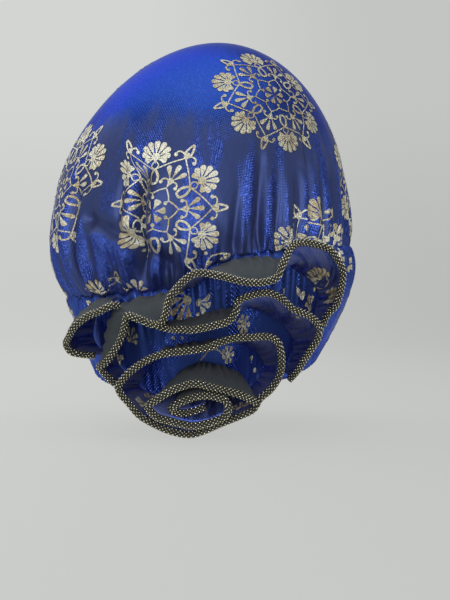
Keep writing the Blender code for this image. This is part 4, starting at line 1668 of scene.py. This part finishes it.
def make_backdrop_paint():
    """Pale paper that glows: brightest behind the turban, dimmer to the sides and in
    front, which is the room that the lamé mirrors, and towards the floor."""
    paint = Paint("pale backdrop", Roughness=0.9, Base_Color=(*BACKDROP, 1))
    place = paint.add("ShaderNodeTexCoord", None, None, "Object")
    ahead, aside, above = (
        paint.add("ShaderNodeVectorMath", {"operation": "DOT_PRODUCT"}, {0: place, 1: axis}, 1)
        for axis in (-OUT, RIGHT, UP)
    )
    beside = paint.math("ABSOLUTE", aside) / paint.math("MAXIMUM", ahead + 1.3, 0.3)
    in_view = (1 - beside.ramp(0.25, 0.6)) * ahead.ramp(-1.0, -0.6)
    glow = paint.blend(in_view, ROOM_LIGHT, WALL_LIGHT)
    glow = paint.blend(aside.ramp(-0.3, 0.5) * 0.17, glow, NO_LIGHT)
    glow = paint.blend((1 - above.ramp(-0.1, 0.7)) * 0.15, glow, NO_LIGHT)
    paint.feed("Emission Color", glow)
    paint.shader.inputs["Emission Strength"].default_value = 1.0
    return paint.material


def make_bowl():
    """The bowl as one piece, its floor closed by a fan and its faces turned inwards."""
    radius, height = bowl_profile()
    angle = np.linspace(0, 2 * np.pi, BOWL_COLUMNS + 1)[:, None]
    x, y = radius * np.cos(angle), radius * np.sin(angle)
    points = np.stack(np.broadcast_arrays(x, y, height), axis=-1)
    poles = (np.array([0, 0, FLOOR_UP]), None)
    corners, faces, uvs, _ = close_grid(points, points[..., :2], False, poles)
    faces, uvs = turned_over(faces), turned_over(uvs)
    return make_piece("backdrop", corners, faces, uvs, [make_backdrop_paint()])


make_bowl()

# %% Lights
# Right, up and out of the middle of a panel, its sides in metres and its power in watts
OVERHEAD = ((-0.45, 1.2, -0.60), (2.8, 1.16), 14.0)
OVERHEAD_TURN = 48.0
FRONT_FILL = ((0.0, 0.1, 1.3), (1.0, 1.0), 9.0)
SKY = (0.9, 0.95, 1, 1)
SKY_STRENGTH = 0.3


def soft_panel(name, place, size, power, rotation):
    """A rectangular area light, placed along the rosette's own directions."""
    data = bpy.data.lights.new(name, "AREA")
    data.shape = "RECTANGLE"
    data.size, data.size_y = size
    data.energy = power
    light = bpy.data.objects.new(name, data)
    light.location = RIGHT * place[0] + UP * place[1] + OUT * place[2]
    light.rotation_euler = rotation
    bpy.context.scene.collection.objects.link(light)


facing_turban = Vector(tuple(-OUT)).to_track_quat("-Z", "Y").to_euler()
soft_panel("overhead", *OVERHEAD, (0, 0, ROSETTE_TURN - math.radians(OVERHEAD_TURN)))
soft_panel("front fill", *FRONT_FILL, facing_turban)
world = bpy.data.worlds.new("studio")
world.use_nodes = True
sky = world.node_tree.nodes["Background"]
sky.inputs["Color"].default_value = SKY
sky.inputs["Strength"].default_value = SKY_STRENGTH
bpy.context.scene.world = world

# %% Camera
CAMERA_RIGHT = 18.0
CAMERA_UP = 28.0
CAMERA_OUT = 1000.0
FOCAL_PIXELS = 1428.0
PICTURE_HEIGHT = 600.0
SENSOR_WIDTH = 36.0

camera = bpy.data.cameras.new("camera")
camera.sensor_fit = "AUTO"
camera.sensor_width = SENSOR_WIDTH
camera.lens = FOCAL_PIXELS / PICTURE_HEIGHT * SENSOR_WIDTH
camera.clip_end = 50.0
eye = bpy.data.objects.new("camera", camera)
eye.location = tuple((RIGHT * CAMERA_RIGHT + UP * CAMERA_UP + OUT * CAMERA_OUT) * MM)
eye.rotation_euler = facing_turban
bpy.context.scene.collection.objects.link(eye)
bpy.context.scene.camera = eye
bpy.context.scene.view_settings.view_transform = "Standard"
print("camera at", [round(x, 3) for x in eye.location])

bpy.context.view_layer.update()


def as_lists(box):
    return [[float(x) for x in corner] for corner in box]


print("cad box", as_lists(cad_box))
